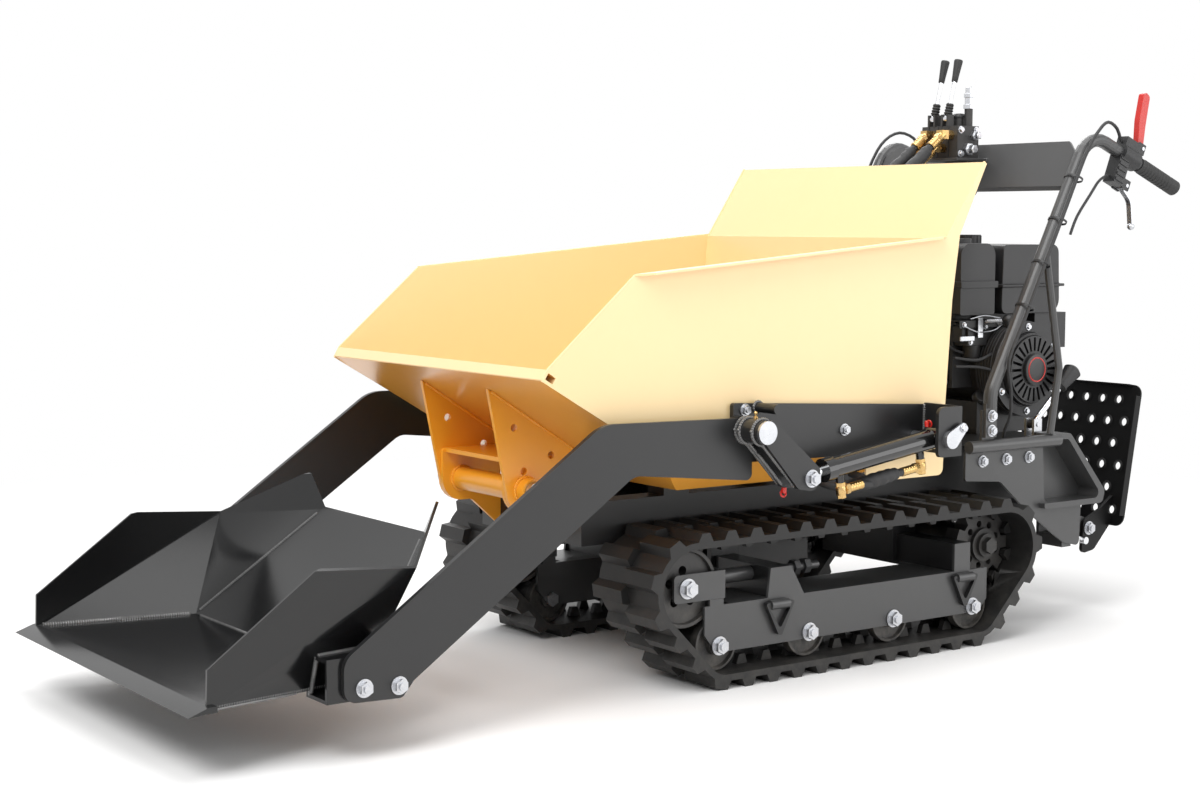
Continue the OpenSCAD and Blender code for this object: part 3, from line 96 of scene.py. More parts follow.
def buildSurfaceGroup(s):
    # Broad colour drift, fine roughness drift and a fine bump height, all from object-space noise
    group, start, end = newGroup(
        "surfaceDrift",
        [("Color", color, (0.5, 0.5, 0.5, 1)), ("Tint", color, (0.4, 0.4, 0.4, 1)), ("Drift", number, 0.3),
         ("Rough", number, 0.4), ("Rough Drift", number, 0.1), ("Broad", number, 6.0), ("Fine", number, 400.0)],
        [("Color", color), ("Roughness", number), ("Height", number)])
    given = start.outputs
    coords = group.nodes.new("ShaderNodeTexCoord").outputs["Object"]
    broad = noiseNode(group, coords, given["Broad"], *s["broad"])
    mid = noiseNode(group, coords, mathNode(group, "MULTIPLY", given["Broad"], s["midScale"]), *s["mid"])
    both = mathNode(group, "MULTIPLY", mathNode(group, "MULTIPLY", broad, mid), s["gain"])
    share = mathNode(group, "MULTIPLY", both, given["Drift"], True)
    link(group, mixColor(group, share, given["Color"], given["Tint"]), end.inputs["Color"])
    swing = mathNode(group, "MULTIPLY", mathNode(group, "SUBTRACT", mid, 0.5), given["Rough Drift"])
    link(group, mathNode(group, "ADD", swing, given["Rough"], True), end.inputs["Roughness"])
    link(group, noiseNode(group, coords, given["Fine"], *s["fine"]), end.inputs["Height"])
    return group


dustNoise = dict(scale=38.0, detail=8.0, rough=0.7, threshold=0.38, gain=3.2)


def buildDustGroup(s):
    # Pale dust, thickest at the ground and gone at the height Top, broken into spots by noise
    group, start, end = newGroup(
        "groundDust",
        [("Color", color, (0.1, 0.1, 0.1, 1)), ("Dust", color, (0.3, 0.27, 0.23, 1)), ("Amount", number, 0.4),
         ("Top", number, 0.35)],
        [("Color", color)])
    given = start.outputs
    coords = group.nodes.new("ShaderNodeTexCoord").outputs["Object"]
    split = group.nodes.new("ShaderNodeSeparateXYZ")
    link(group, coords, split.inputs[0])
    low = mathNode(group, "SUBTRACT", 1.0, mathNode(group, "DIVIDE", split.outputs["Z"], given["Top"]), True)
    grit = noiseNode(group, coords, s["scale"], s["detail"], s["rough"])
    spot = mathNode(group, "MULTIPLY", mathNode(group, "SUBTRACT", grit, s["threshold"]), s["gain"], True)
    mask = mathNode(group, "MULTIPLY", mathNode(group, "MULTIPLY", low, spot), given["Amount"], True)
    link(group, mixColor(group, mask, given["Color"], given["Dust"]), end.inputs["Color"])
    return group


surfaceGroup = buildSurfaceGroup(surfaceNoise)
dustGroup = buildDustGroup(dustNoise)

finishes = {
    # The hopper's yellow; under is a deeper orange painted on faces that look down, as painted shade
    "yellowPaint": dict(
        color=(0.90, 0.68, 0.36), tint=(0.87, 0.635, 0.315), drift=0.3, rough=0.34, roughDrift=0.06,
        broad=3.0, fine=520.0, bump=0.03, coat=0.45, coatRough=0.2, under=(0.74, 0.33, 0.045)),
    # A shaded copy of the yellow paint: its deeper, more saturated orange is painted shade for the parts under
    # the hopper
    "yellowPaintShaded": dict(
        color=(0.93, 0.40, 0.026), tint=(0.86, 0.355, 0.022), drift=0.35, rough=0.34, roughDrift=0.08,
        broad=4.0, fine=520.0, bump=0.04, coat=0.3, coatRough=0.2),
    "blackPaint": dict(
        color=(0.0085, 0.0086, 0.009), tint=(0.014, 0.0142, 0.015), drift=0.4, rough=0.40, roughDrift=0.06,
        broad=5.0, fine=900.0, bump=0.04, coat=0.15, coatRough=0.3),
    "bucketPaint": dict(
        color=(0.006, 0.0061, 0.0064), tint=(0.011, 0.0112, 0.0115), drift=0.4, rough=0.17, roughDrift=0.05,
        broad=3.0, fine=700.0, bump=0.02),
    "glossBlack": dict(
        color=(0.006, 0.006, 0.0063), tint=(0.010, 0.010, 0.0103), drift=0.3, rough=0.12, roughDrift=0.04,
        broad=8.0, fine=800.0, bump=0.015, coat=0.5, coatRough=0.05),
    # A lighter copy of the black paint: its grey stands in for the sheen on the frames, guard, panel and bars,
    # a painted sheen
    "blackPaintedSheen": dict(
        color=(0.048, 0.0482, 0.049), tint=(0.062, 0.0622, 0.063), drift=0.4, rough=0.36, roughDrift=0.06,
        broad=5.0, fine=900.0, bump=0.04, coat=0.2, coatRough=0.25),
    "platformBlack": dict(
        color=(0.005, 0.005, 0.0052), tint=(0.009, 0.009, 0.0092), drift=0.4, rough=0.48, roughDrift=0.08,
        broad=6.0, fine=900.0, bump=0.05, spec=0.22),
    "trackRubber": dict(
        color=(0.0085, 0.0084, 0.0083), tint=(0.018, 0.0175, 0.017), drift=0.5, rough=0.50, roughDrift=0.16,
        broad=14.0, fine=650.0, bump=0.2, dust=0.10, dustTop=0.25, spec=0.42),
    "gripRubber": dict(
        color=(0.016, 0.016, 0.016), tint=(0.03, 0.03, 0.03), drift=0.4, rough=0.62, roughDrift=0.15,
        broad=20.0, fine=1200.0, bump=0.15),
    "hoseRubber": dict(
        color=(0.017, 0.017, 0.018), tint=(0.032, 0.032, 0.033), drift=0.5, rough=0.6, roughDrift=0.2,
        broad=30.0, fine=900.0, bump=0.3),
    "zincPlate": dict(
        color=(0.62, 0.63, 0.65), tint=(0.40, 0.41, 0.44), drift=0.55, rough=0.30, roughDrift=0.25,
        broad=40.0, fine=600.0, bump=0.05, metal=1.0),
    "goldZinc": dict(
        color=(0.66, 0.43, 0.14), tint=(0.52, 0.36, 0.20), drift=0.6, rough=0.28, roughDrift=0.2,
        broad=45.0, fine=600.0, bump=0.04, metal=1.0),
    "hardChrome": dict(
        color=(0.74, 0.75, 0.77), tint=(0.62, 0.63, 0.66), drift=0.25, rough=0.10, roughDrift=0.08,
        broad=25.0, fine=700.0, bump=0.01, metal=1.0),
    "castBlack": dict(
        color=(0.015, 0.015, 0.016), tint=(0.03, 0.03, 0.031), drift=0.5, rough=0.45, roughDrift=0.2,
        broad=22.0, fine=380.0, bump=0.35),
    "blackPlastic": dict(
        color=(0.014, 0.014, 0.015), tint=(0.025, 0.025, 0.026), drift=0.4, rough=0.42, roughDrift=0.15,
        broad=16.0, fine=1100.0, bump=0.18),
    "redPlastic": dict(
        color=(0.60, 0.018, 0.010), tint=(0.46, 0.010, 0.007), drift=0.4, rough=0.28, roughDrift=0.12,
        broad=20.0, fine=900.0, bump=0.06, coat=0.25, coatRough=0.15),
    # Weld beads: black-painted welds drawn in a lighter grey with pale specks, a painted highlight for their
    # glints
    "weldPaintedGlint": dict(
        color=(0.055, 0.055, 0.056), tint=(0.16, 0.158, 0.155), drift=0.7, rough=0.22, roughDrift=0.15,
        broad=60.0, fine=420.0, bump=0.2, coat=0.7, coatRough=0.06),
    "wheelIron": dict(
        color=(0.020, 0.020, 0.021), tint=(0.050, 0.047, 0.043), drift=0.6, rough=0.50, roughDrift=0.2,
        broad=16.0, fine=320.0, bump=0.3, dust=0.35, dustTop=0.22),
}
bumpDepth = 0.001
# A face starts to take the painted shade of faces that look down when its normal's Z falls below minus start
paintedUnderShade = dict(start=0.15, gain=-4.0)


def makeFinish(name, s):
    # Principled shader whose colour, roughness and bump come from the shared groups
    material = bpy.data.materials.new(name)
    material.use_nodes = True
    tree = material.node_tree
    shader = tree.nodes["Principled BSDF"]
    drift = tree.nodes.new("ShaderNodeGroup")
    drift.node_tree = surfaceGroup
    for label, key in (("Drift", "drift"), ("Rough", "rough"), ("Rough Drift", "roughDrift"),
                       ("Broad", "broad"), ("Fine", "fine")):
        drift.inputs[label].default_value = s[key]
    drift.inputs["Color"].default_value = (*s["color"], 1)
    drift.inputs["Tint"].default_value = (*s["tint"], 1)
    colorOut = drift.outputs["Color"]
    if "dust" in s:
        dust = tree.nodes.new("ShaderNodeGroup")
        dust.node_tree = dustGroup
        dust.inputs["Amount"].default_value = s["dust"]
        dust.inputs["Top"].default_value = s["dustTop"]
        link(tree, colorOut, dust.inputs["Color"])
        colorOut = dust.outputs["Color"]
    if "under" in s:
        # Faces that look down take a painted shade: a deeper orange stands in for the shade under them
        split = tree.nodes.new("ShaderNodeSeparateXYZ")
        link(tree, tree.nodes.new("ShaderNodeNewGeometry").outputs["Normal"], split.inputs[0])
        below = mathNode(tree, "ADD", split.outputs["Z"], paintedUnderShade["start"])
        down = mathNode(tree, "MULTIPLY", below, paintedUnderShade["gain"], True)
        colorOut = mixColor(tree, down, colorOut, (*s["under"], 1))
    link(tree, colorOut, shader.inputs["Base Color"])
    link(tree, drift.outputs["Roughness"], shader.inputs["Roughness"])
    bump = tree.nodes.new("ShaderNodeBump")
    bump.inputs["Strength"].default_value = s["bump"]
    bump.inputs["Distance"].default_value = bumpDepth
    link(tree, drift.outputs["Height"], bump.inputs["Height"])
    link(tree, bump.outputs["Normal"], shader.inputs["Normal"])
    shader.inputs["Metallic"].default_value = s.get("metal", 0.0)
    shader.inputs["Specular IOR Level"].default_value = s.get("spec", 0.5)
    shader.inputs["Coat Weight"].default_value = s.get("coat", 0.0)
    shader.inputs["Coat Roughness"].default_value = s.get("coatRough", 0.1)
    return material


finish = {name: makeFinish(name, s) for name, s in finishes.items()}
slotFinish = {
    "yellow_paint": "yellowPaint", "black_paint": "blackPaint", "bucket_paint": "bucketPaint",
    "track_rubber": "trackRubber", "grip_rubber": "gripRubber", "hose_rubber": "hoseRubber",
    "zinc": "zincPlate", "gold_zinc": "goldZinc", "chrome": "hardChrome", "cast_black": "castBlack",
    "black_plastic": "blackPlastic", "red_plastic": "redPlastic", "wheel_iron": "wheelIron"}
# The yellow frames under the hopper take the shaded copy of the yellow paint, a painted shade
nodeFinish = {
    "hopper_frame": "yellowPaintShaded", "hinge_bracket": "yellowPaintShaded", "track_frames": "blackPaintedSheen",
    # The track frames, rear guard, control panel and handlebars take the lighter copy of the black paint, a
    # painted sheen
    "rear_guard": "blackPaintedSheen", "control_panel": "blackPaintedSheen", "handlebars": "blackPaintedSheen",
    "platform": "platformBlack", "lift_barrel_left": "glossBlack", "lift_barrel_right": "glossBlack",
    "tip_barrel": "glossBlack"}
for part in frame["record"]["subparts"]:
    mesh = nodes[part["node"]].data
    mesh.materials.clear()
    mesh.materials.append(finish[nodeFinish.get(part["node"], slotFinish[part["material_slot"]])])
print("finishes:", len(finish))

mm = 0.001
# Radius in millimetres of the rounded edges of each node
edgeWidths = {
    "main_frame": 1.5, "track_frames": 1.5, "gearbox": 4, "engine": 3, "fuel_tank": 2, "air_filter": 2,
    "recoil_cover": 1, "control_panel": 1, "lever_mounts": 1, "rear_guard": 1.2, "valve_block": 1.5,
    "hose_fittings": 0.8, "chassis_bolts": 0.7, "hinge_bracket": 1.2, "hopper_frame": 1.2, "loader_plates": 1.5,
    "hopper_bolts": 0.7, "loader_arm_left": 1.5, "loader_arm_right": 1.5, "loader_bolts": 0.7,
    "track_belt_left": 2.5, "track_belt_right": 2.5, "clutch_lever": 2.5, "steering_lever_left": 1.5,
    "steering_lever_right": 1.5, "platform": 0.8, "fuel_cap": 1.0, "gear_lever": 1.5, "hopper": 1.0,
    "loader_bucket": 1.0}
# Angles in degrees: faces within flat of each other are joined, and sharper edges than these are rounded
edgeLimits = dict(weld=1e-5, flat=0.6, sharpNode=32, sharpPiece=38)


def roundEdges(thing, width, sharp):
    bevel = thing.modifiers.new("round", "BEVEL")
    bevel.width = width * mm
    bevel.segments = 2
    bevel.limit_method = "ANGLE"
    bevel.angle_limit = math.radians(sharp)


def softenEdges(node, width):
    # Welds the loose triangles, joins flat ones and rounds the sharp edges by width millimetres
    weld = node.modifiers.new("weld", "WELD")
    weld.merge_threshold = edgeLimits["weld"]
    flat = node.modifiers.new("flat", "DECIMATE")
    flat.decimate_type = "DISSOLVE"
    flat.angle_limit = math.radians(edgeLimits["flat"])
    roundEdges(node, width, edgeLimits["sharpNode"])
    normals = node.modifiers.new("normals", "WEIGHTED_NORMAL")
    normals.keep_sharp = False
    node.data.shade_smooth()


for name, width in edgeWidths.items():
    softenEdges(nodes[name], width)
print("edges softened:", len(edgeWidths))

originY = 0.2035186
xWay, yWay, zWay = (1, 0, 0), (0, 1, 0), (0, 0, 1)


def row(points):
    # Millimetres in the machine's own frame to metres in the row frame
    return np.asarray(points, float) * mm + np.array((0.0, originY, 0.0))


def axesOf(direction):
    # A unit direction and two unit vectors square to it
    d = np.asarray(direction, float)
    d = d / np.linalg.norm(d)
    side = np.cross(d, zWay if abs(d[2]) < 0.9 else xWay)
    side = side / np.linalg.norm(side)
    return d, side, np.cross(d, side)


def fullTurn(count):
    return np.linspace(0, 2 * np.pi, count, endpoint=False)


def gridFaces(rows, cols, capped=True, closed=False):
    # Quads round a rows x cols grid whose columns wrap
    # Capped closes both ends, and closed joins the last row to the first
    i, j = np.meshgrid(np.arange(rows if closed else rows - 1), np.arange(cols), indexing="ij")
    i2, j2 = (i + 1) % rows, (j + 1) % cols
    corners = [i * cols + j, i * cols + j2, i2 * cols + j2, i2 * cols + j]
    quads = np.stack(corners, axis=-1).reshape(-1, 4).tolist()
    if capped and not closed:
        ring = np.arange(cols)
        quads += [ring[::-1].tolist(), (ring + (rows - 1) * cols).tolist()]
    return quads


def flipped(faces):
    return [face[::-1] for face in faces]


def tube(path, radius, sides=12, ref=None):
    # Circles of the given radius square to a path of points; ref is any direction the path never runs along
    path = np.asarray(path, float)
    run = np.gradient(path, axis=0)
    run = run / np.linalg.norm(run, axis=1, keepdims=True)
    if ref is None:
        ref = np.eye(3)[np.argmin(np.abs(run).max(axis=0))]
    side = np.cross(run, ref)
    side = side / np.linalg.norm(side, axis=1, keepdims=True)
    up = np.cross(run, side)
    turn = fullTurn(sides)
    reach = np.broadcast_to(radius, len(path))[:, None, None]
    rings = side[:, None] * np.cos(turn)[None, :, None] + up[:, None] * np.sin(turn)[None, :, None]
    return (path[:, None] + reach * rings).reshape(-1, 3), gridFaces(len(path), sides)


def lathe(profile, centre, axis, sides=24, closed=False):
    # A profile of (radius, height) turned round an axis through centre
    profile = np.asarray(profile, float)
    d, side, up = axesOf(axis)
    turn = fullTurn(sides)
    ring = side[None] * np.cos(turn)[:, None] + up[None] * np.sin(turn)[:, None]
    points = np.asarray(centre, float) + profile[:, 1, None, None] * d + profile[:, 0, None, None] * ring[None]
    return points.reshape(-1, 3), gridFaces(len(profile), sides, True, closed)


def torus(centre, axis, major, minor, sides=32, cuts=8):
    # A circle of radius minor turned at radius major
    turn = fullTurn(cuts)
    profile = np.stack([major + minor * np.cos(turn), minor * np.sin(turn)], axis=1)
    return lathe(profile, centre, axis, sides, True)


def block(low, high):
    # A box between two corners
    low, high = np.asarray(low, float), np.asarray(high, float)
    pick = np.array([(0, 0, 0), (1, 0, 0), (1, 1, 0), (0, 1, 0), (0, 0, 1), (1, 0, 1), (1, 1, 1), (0, 1, 1)])
    faces = [[3, 2, 1, 0], [4, 5, 6, 7], [0, 1, 5, 4], [1, 2, 6, 5], [2, 3, 7, 6], [3, 0, 4, 7]]
    return low + pick * (high - low), faces


def smoothPath(points, count):
    # A Catmull-Rom curve through the points, sampled evenly in its parameter
    p = np.asarray(points, float)
    p = np.concatenate([[2 * p[0] - p[1]], p, [2 * p[-1] - p[-2]]])
    t = np.linspace(0, len(p) - 3 - 1e-9, count)
    i = t.astype(int)
    u = (t - i)[:, None]
    a, b, c, d = p[i], p[i + 1], p[i + 2], p[i + 3]
    return 0.5 * (2 * b + (c - a) * u + (2 * a - 5 * b + 4 * c - d) * u ** 2 + (3 * b - a - 3 * c + d) * u ** 3)


# A weld bead is a tube whose radius is least plus rise times the size of a sine, with one swell in each pitch
weldBead = dict(pitch=4.5, least=0.82, rise=0.3, sides=8, steps=4, end=0.5)


def bead(start, end, radius):
    # A straight bead, drawn in at both ends
    s = weldBead
    start, end = np.asarray(start, float), np.asarray(end, float)
    swells = np.linalg.norm(end - start) / s["pitch"]
    t = np.linspace(0, 1, max(s["sides"], int(swells * s["steps"])))
    swell = radius * (s["least"] + s["rise"] * np.abs(np.sin(np.pi * t * swells)))
    swell[[0, -1]] *= s["end"]
    return tube(start + t[:, None] * (end - start), swell, s["sides"])


def beadRing(centre, axis, major, radius):
    # The same bead run once round a circle
    s = weldBead
    d, side, up = axesOf(axis)
    swells = max(s["sides"], int(2 * np.pi * major / s["pitch"]))
    count = swells * s["steps"]
    turn = fullTurn(count)[:, None]
    out = side * np.cos(turn) + up * np.sin(turn)
    swell = radius * (s["least"] + s["rise"] * np.abs(np.sin(turn * swells / 2)))
    cut = fullTurn(s["sides"])
    points = np.asarray(centre, float) + out[:, None] * (major + swell * np.cos(cut))[..., None] \
        + d * (swell * np.sin(cut))[..., None]
    return points.reshape(-1, 3), flipped(gridFaces(count, s["sides"], False, True))


def join(parts):
    # Several pieces of mesh as one
    starts = np.cumsum([0] + [len(v) for v, f in parts])
    faces = [(np.asarray(face) + s).tolist() for s, (v, f) in zip(starts, parts) for face in f]
    return np.concatenate([v for v, f in parts]), faces


def bolt(centre, axis, across, height, washer):
    # A hexagon head with a chamfered top, on a washer of the given radius
    r = across / math.sqrt(3)
    return join([lathe([(r, 0), (r, height - 1.2), (r * 0.86, height)], centre, axis, 6),
                 lathe([(washer, -0.2), (washer, 1.6), (washer - 0.4, 2.0)], centre, axis, 24)])


def copies(part, offsets):
    # The same mesh at each offset
    return join([(part[0] + np.asarray(o, float), part[1]) for o in offsets])


def mirrored(part):
    # The same mesh on the other side of the machine
    return part[0] * (-1, 1, 1), flipped(part[1])


def addPiece(name, parts, finishName, body, edge=0.0):
    # One object at the origin from millimetre parts, riding a body
    points, faces = join(parts)
    mesh = bpy.data.meshes.new(name)
    mesh.from_pydata(row(points).tolist(), [], faces)
    mesh.shade_smooth()
    mesh.set_sharp_from_angle(angle=math.radians(edgeLimits["sharpPiece"]))
    mesh.materials.append(finish[finishName])
    piece = bpy.data.objects.new(name, mesh)
    bpy.context.scene.collection.objects.link(piece)
    if edge:
        roundEdges(piece, edge, edgeLimits["sharpPiece"])
    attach(piece, body)


def addPair(name, side, finishName, body, edge=0.0):
    # The same part on both sides of the machine, as one piece
    addPiece(name, [side, mirrored(side)], finishName, body, edge)


# Weld seams of the bucket: each is an edge of the bowl, moved in by the sheet's thickness from both faces
bucketWelds = dict(
    sheet=5.0, trim=0.04, middle=(0, -1137, 225), front=(372, -1353, 110), wing=(372, -986, 292),
    floor=(322, -1061, 108), horn=(239, -864, 374), chute=(186, -860, 309), floorSeam=5.4, backSeam=2.88,
    crossSeam=2.52, underSeam=2.2, underRun=(0.06, 0.56), stubSeam=4.0,
    stub=((-1160, 168), (-1033, 168), (-1160, 100)))


def inwardNormal(a, b, c, middle):
    n = np.cross(b - a, c - a)
    n = n / np.linalg.norm(n)
    return n if np.dot(middle - a, n) > 0 else -n


def innerSeam(a, b, c, d, s):
    # The edge from a to b, moved one sheet inside the faces a-b-c and a-b-d, and shortened at both ends
    middle = np.array(s["middle"], float)
    rows = np.array([inwardNormal(a, b, c, middle), inwardNormal(a, b, d, middle), b - a])
    shift = np.linalg.solve(rows, [s["sheet"], s["sheet"], 0])
    return a + shift + s["trim"] * (b - a), b + shift - s["trim"] * (b - a)


def makeBucketWelds(s):
    corners = ("front", "wing", "floor", "horn", "chute")
    front, wing, floor, horn, chute = (np.array(s[k], float) for k in corners)
    farFloor, farChute = floor * (-1, 1, 1), chute * (-1, 1, 1)
    seams = [bead(*innerSeam(front, floor, wing, farFloor, s), s["floorSeam"]),
             bead(*innerSeam(floor, chute, horn, farChute, s), s["backSeam"]),
             bead(*(front + share * (floor - front) for share in s["underRun"]), s["underSeam"])]
    # Fillets where the square arm stub meets the outside of the wing: x is found on the wing's plane
    n = np.cross(wing - front, floor - front)
    stub = [np.array(((np.dot(n, front) - n[1] * y - n[2] * z) / n[0], y, z)) for y, z in s["stub"]]
    side = join(seams + [bead(stub[0], end, s["stubSeam"]) for end in stub[1:]])
    cross = bead(*innerSeam(floor, farFloor, front, chute, s), s["crossSeam"])
    addPiece("bucketWelds", [side, mirrored(side), cross], "weldPaintedGlint", "loader")


makeBucketWelds(bucketWelds)

# A red dust cap: its loop and its plug
dustCap = dict(loop=(6.0, 1.8), plug=((4.6, 0), (4.6, 9), (3.4, 11)))


def redCap(loopAt, loopWay, plugAt, plugWay):
    return join([torus(loopAt, loopWay, *dustCap["loop"], 20), lathe(dustCap["plug"], plugAt, plugWay, 14)])


# Weld beads of the arms' hubs and cranks, a grease nipple on each hub and a red cap under each crank
# Planes are x places, and front and back are (y, z) steps from the pivot and from the rod's pin
armWelds = dict(
    radius=3.0, hub=23.2, pivot=(-330, 480), rod=(-222, 391), face=408.6, ears=(418.4, 454.2),
    front=((-27, 5), (-31, -14)), back=((19, 20), (25, 16)), nipple=(436, -330, 501.6),
    nippleShape=((4.2, -1), (4.2, 4), (2.4, 5), (2.4, 9), (3.2, 10), (3.2, 12), (1.6, 14)),
    loop=(413, -244, 360), loopWay=(1, 0, 0.2), plug=(413, -242, 371))


def makeArmWelds(s):
    pivot, rod = np.array(s["pivot"], float), np.array(s["rod"], float)
    planes = (*s["ears"], s["face"])

    def crankSeam(x, ends):
        return bead((x, *(pivot + ends[0])), (x, *(rod + ends[1])), s["radius"])
    rings = [beadRing((x, *pivot), xWay, s["hub"], s["radius"]) for x in planes]
    seams = [crankSeam(x, s["front"]) for x in planes] + [crankSeam(s["face"], s["back"])]
    addPair("armWelds", join(rings + seams), "weldPaintedGlint", "loader")
    addPair("armGrease", lathe(s["nippleShape"], s["nipple"], zWay, 12), "goldZinc", "loader")
    cap = redCap(s["loop"], s["loopWay"], s["plug"], (0, 0, -1))
    addPair("armCaps", cap, "redPlastic", "loader")


makeArmWelds(armWelds)

# Weld beads and lock plates on the loader plates, and welds of the yellow hinge plates under the hopper
# Posts are the upright seams of the rear bracket, as x, lowest z and highest z
plateWelds = dict(
    face=380.6, stop=(-278, 516), stopRing=10.4, ringSeam=2.6, postY=141, postSeam=3.0,
    posts=((380.6, 410, 501), (463.4, 411, 499)), pin=(116, 441), lockEnd=(143, 462), lockX=478.7,
    lockRadii=(17, 10), lockThick=5, boltX=483.6, boltSize=(13, 6, 9), lip=(-741, 584), slope=219 / 341,
    sink=2.2, run=(-684, -500), hingeSeam=2.8, hingeFaces=(121.2, 110.8), hinge=(-608, 360), hub=(121.0, 25.0),
    cheek=(103.0, 22.8))


def lockPlate(x, a, b, radii, thick):
    # A flat tear-drop between two circles; opening is the angle at which their common tangent touches them
    a, b = np.array(a, float), np.array(b, float)
    run = (b - a) / np.linalg.norm(b - a)
    lead = math.atan2(run[1], run[0])
    opening = math.acos((radii[0] - radii[1]) / np.linalg.norm(b - a))
    big = np.linspace(lead + opening, lead + 2 * np.pi - opening, 22)
    small = np.linspace(lead - opening, lead + opening, 14)
    ring = np.concatenate([a + radii[0] * np.stack([np.cos(big), np.sin(big)], 1),
                           b + radii[1] * np.stack([np.cos(small), np.sin(small)], 1)])
    points = np.concatenate([np.insert(ring, 0, h, axis=1) for h in (x, x + thick)])
    return points, gridFaces(2, len(ring))


def makePlateWelds(s):
    ring = beadRing((s["face"], *s["stop"]), xWay, s["stopRing"], s["ringSeam"])
    posts = [bead((x, s["postY"], low), (x, s["postY"], high), s["postSeam"]) for x, low, high in s["posts"]]
    addPair("plateWelds", join([ring] + posts), "weldPaintedGlint", "hopper")
    locks = join([lockPlate(s["lockX"], s["pin"], s["lockEnd"], s["lockRadii"], s["lockThick"]),
                  bolt((s["boltX"], *s["lockEnd"]), xWay, *s["boltSize"])])
    addPair("lockPlates", locks, "zincPlate", "hopper", 0.6)
    # The hopper's front slope falls from the lip; the seams lie a little under it
    ends = [(y, s["lip"][1] - (y - s["lip"][0]) * s["slope"] - s["sink"]) for y in s["run"]]
    lines = [bead((x, *ends[0]), (x, *ends[1]), s["hingeSeam"]) for x in s["hingeFaces"]]
    hub, cheek = (beadRing((x, *s["hinge"]), xWay, r, s["ringSeam"]) for x, r in (s["hub"], s["cheek"]))
    # The hinge welds take the same painted shade of the yellow as the parts under the hopper
    addPair("hingeWelds", join(lines + [hub]), "yellowPaintShaded", "hopper")
    addPair("bracketWelds", cheek, "yellowPaintShaded", "chassis")


makePlateWelds(plateWelds)

# Fittings, crimped ferrules, hoses and a red cap under each lift cylinder, in the cylinder's own line
# Runs are (along, down, x) steps from the ferrule's end, and reach is the depth of the ports
liftFittings = dict(
    x=436.3, base=(116, 441), rod=(-222, 391), ports=(44, 249.7), reach=31, ferrule=44, elbow=15, lead=8,
    nut=((9.5, 0), (9.5, 7), (8.2, 8)), body=((8.6, 7), (9.6, 9), (9.6, 21), (8.6, 23)),
    plug=((8.6, 22.5), (8.6, 29), (7.4, 30)), collar=((10.0, 0), (10.0, 9), (9.0, 10)), collarLead=10,
    ferruleRadius=8.6, grooves=7, grooveDepth=0.8, hose=7.6,
    longRun=((-6, 0, 0), (26, -1, 0), (62, 1, -4), (100, 4, -18), (128, 4, -46), (132, -4, -92)),
    shortRun=((6, 0, 0), (-18, 4, -1), (-42, 9, -12), (-56, 10, -42), (-58, 2, -92)),
    sleeve=(9.0, 5.0, 0.7), sleeveFolds=40, loop=(12, -30), plugPlace=(18, -26))


def crimped(start, axis, s):
    # A ferrule: a turned profile with pressed grooves along its length, smaller at both ends
    length, radius = s["ferrule"], s["ferruleRadius"]
    h = np.linspace(0, length, 45)
    pressed = (np.abs(((h / length * s["grooves"]) % 1) - 0.5) < 0.2) * (h > 8) * (h < length - 3)
    r = radius - s["grooveDepth"] * pressed
    r[[0, -1]] = radius * 0.8
    return lathe(np.stack([r, h], axis=1), start, axis, 16)


def makeLiftFittings(s):
    (ay, az), (by, bz) = s["base"], s["rod"]
    u = np.array((0, by - ay, bz - az), float)
    u = u / np.linalg.norm(u)
    v = np.array((0, -u[2], u[1]))
    base = np.array((s["x"], ay, az), float)
    depth = s["reach"] + s["elbow"]

    def at(along, down, x=0.0):
        return base + along * u + down * v + np.array((x, 0, 0))

    def hoseRun(start, steps, count):
        return smoothPath([at(start + along, depth + down, x) for along, down, x in steps], count)
    metal = []
    for port, way in zip(s["ports"], (1, -1)):
        foot = at(port, s["reach"])
        metal += [lathe(s["nut"], foot, v, 6), lathe(s["body"], foot, v, 20), lathe(s["plug"], foot, v, 6),
                  crimped(at(port + s["lead"] * way, depth), u * way, s),
                  lathe(s["collar"], at(port + s["collarLead"] * way, depth), u * way, 6)]
    inset = s["lead"] + s["ferrule"]
    longRun = hoseRun(s["ports"][0] + inset, s["longRun"], 46)
    shortRun = hoseRun(s["ports"][1] - inset, s["shortRun"], 34)
    # A slack woven sleeve over the long hose: wider in the middle, with shallow folds
    cover = longRun[5:34]
    t = np.linspace(0, 1, len(cover))
    radius, bulge, fold = s["sleeve"]
    slack = radius + bulge * np.sin(np.pi * t) ** 0.5 + fold * np.sin(t * s["sleeveFolds"])
    hose = [tube(longRun, s["hose"], 14), tube(shortRun, s["hose"], 14), tube(cover, slack, 16)]
    red = redCap(at(*s["loop"]), u, at(*s["plugPlace"]), -v)
    for name, turn in (("left", join), ("right", lambda parts: mirrored(join(parts)))):
        title, body = name.capitalize(), "lift_barrel_" + name
        addPiece("liftFittings" + title, [turn(metal)], "goldZinc", body)
        addPiece("liftHoses" + title, [turn(hose)], "hoseRubber", body)
        addPiece("liftCaps" + title, [turn([red])], "redPlastic", body)


makeLiftFittings(liftFittings)
print("welds and lift fittings placed")

# Pressed rims round the platform's holes, on the face that is on top when it is folded down
# The wall is (radius beyond the hole, height) of the rim's section
platformRims = dict(
    foot=(873, 181), lean=10, height=316, width=530, hole=18, rows=6, columns=11, pitch=46, first=35, margin=26,
    wall=((0.1, -1.2), (4.5, -0.2), (4.5, 0.4), (2.2, 2.6), (0.1, 3.2)))


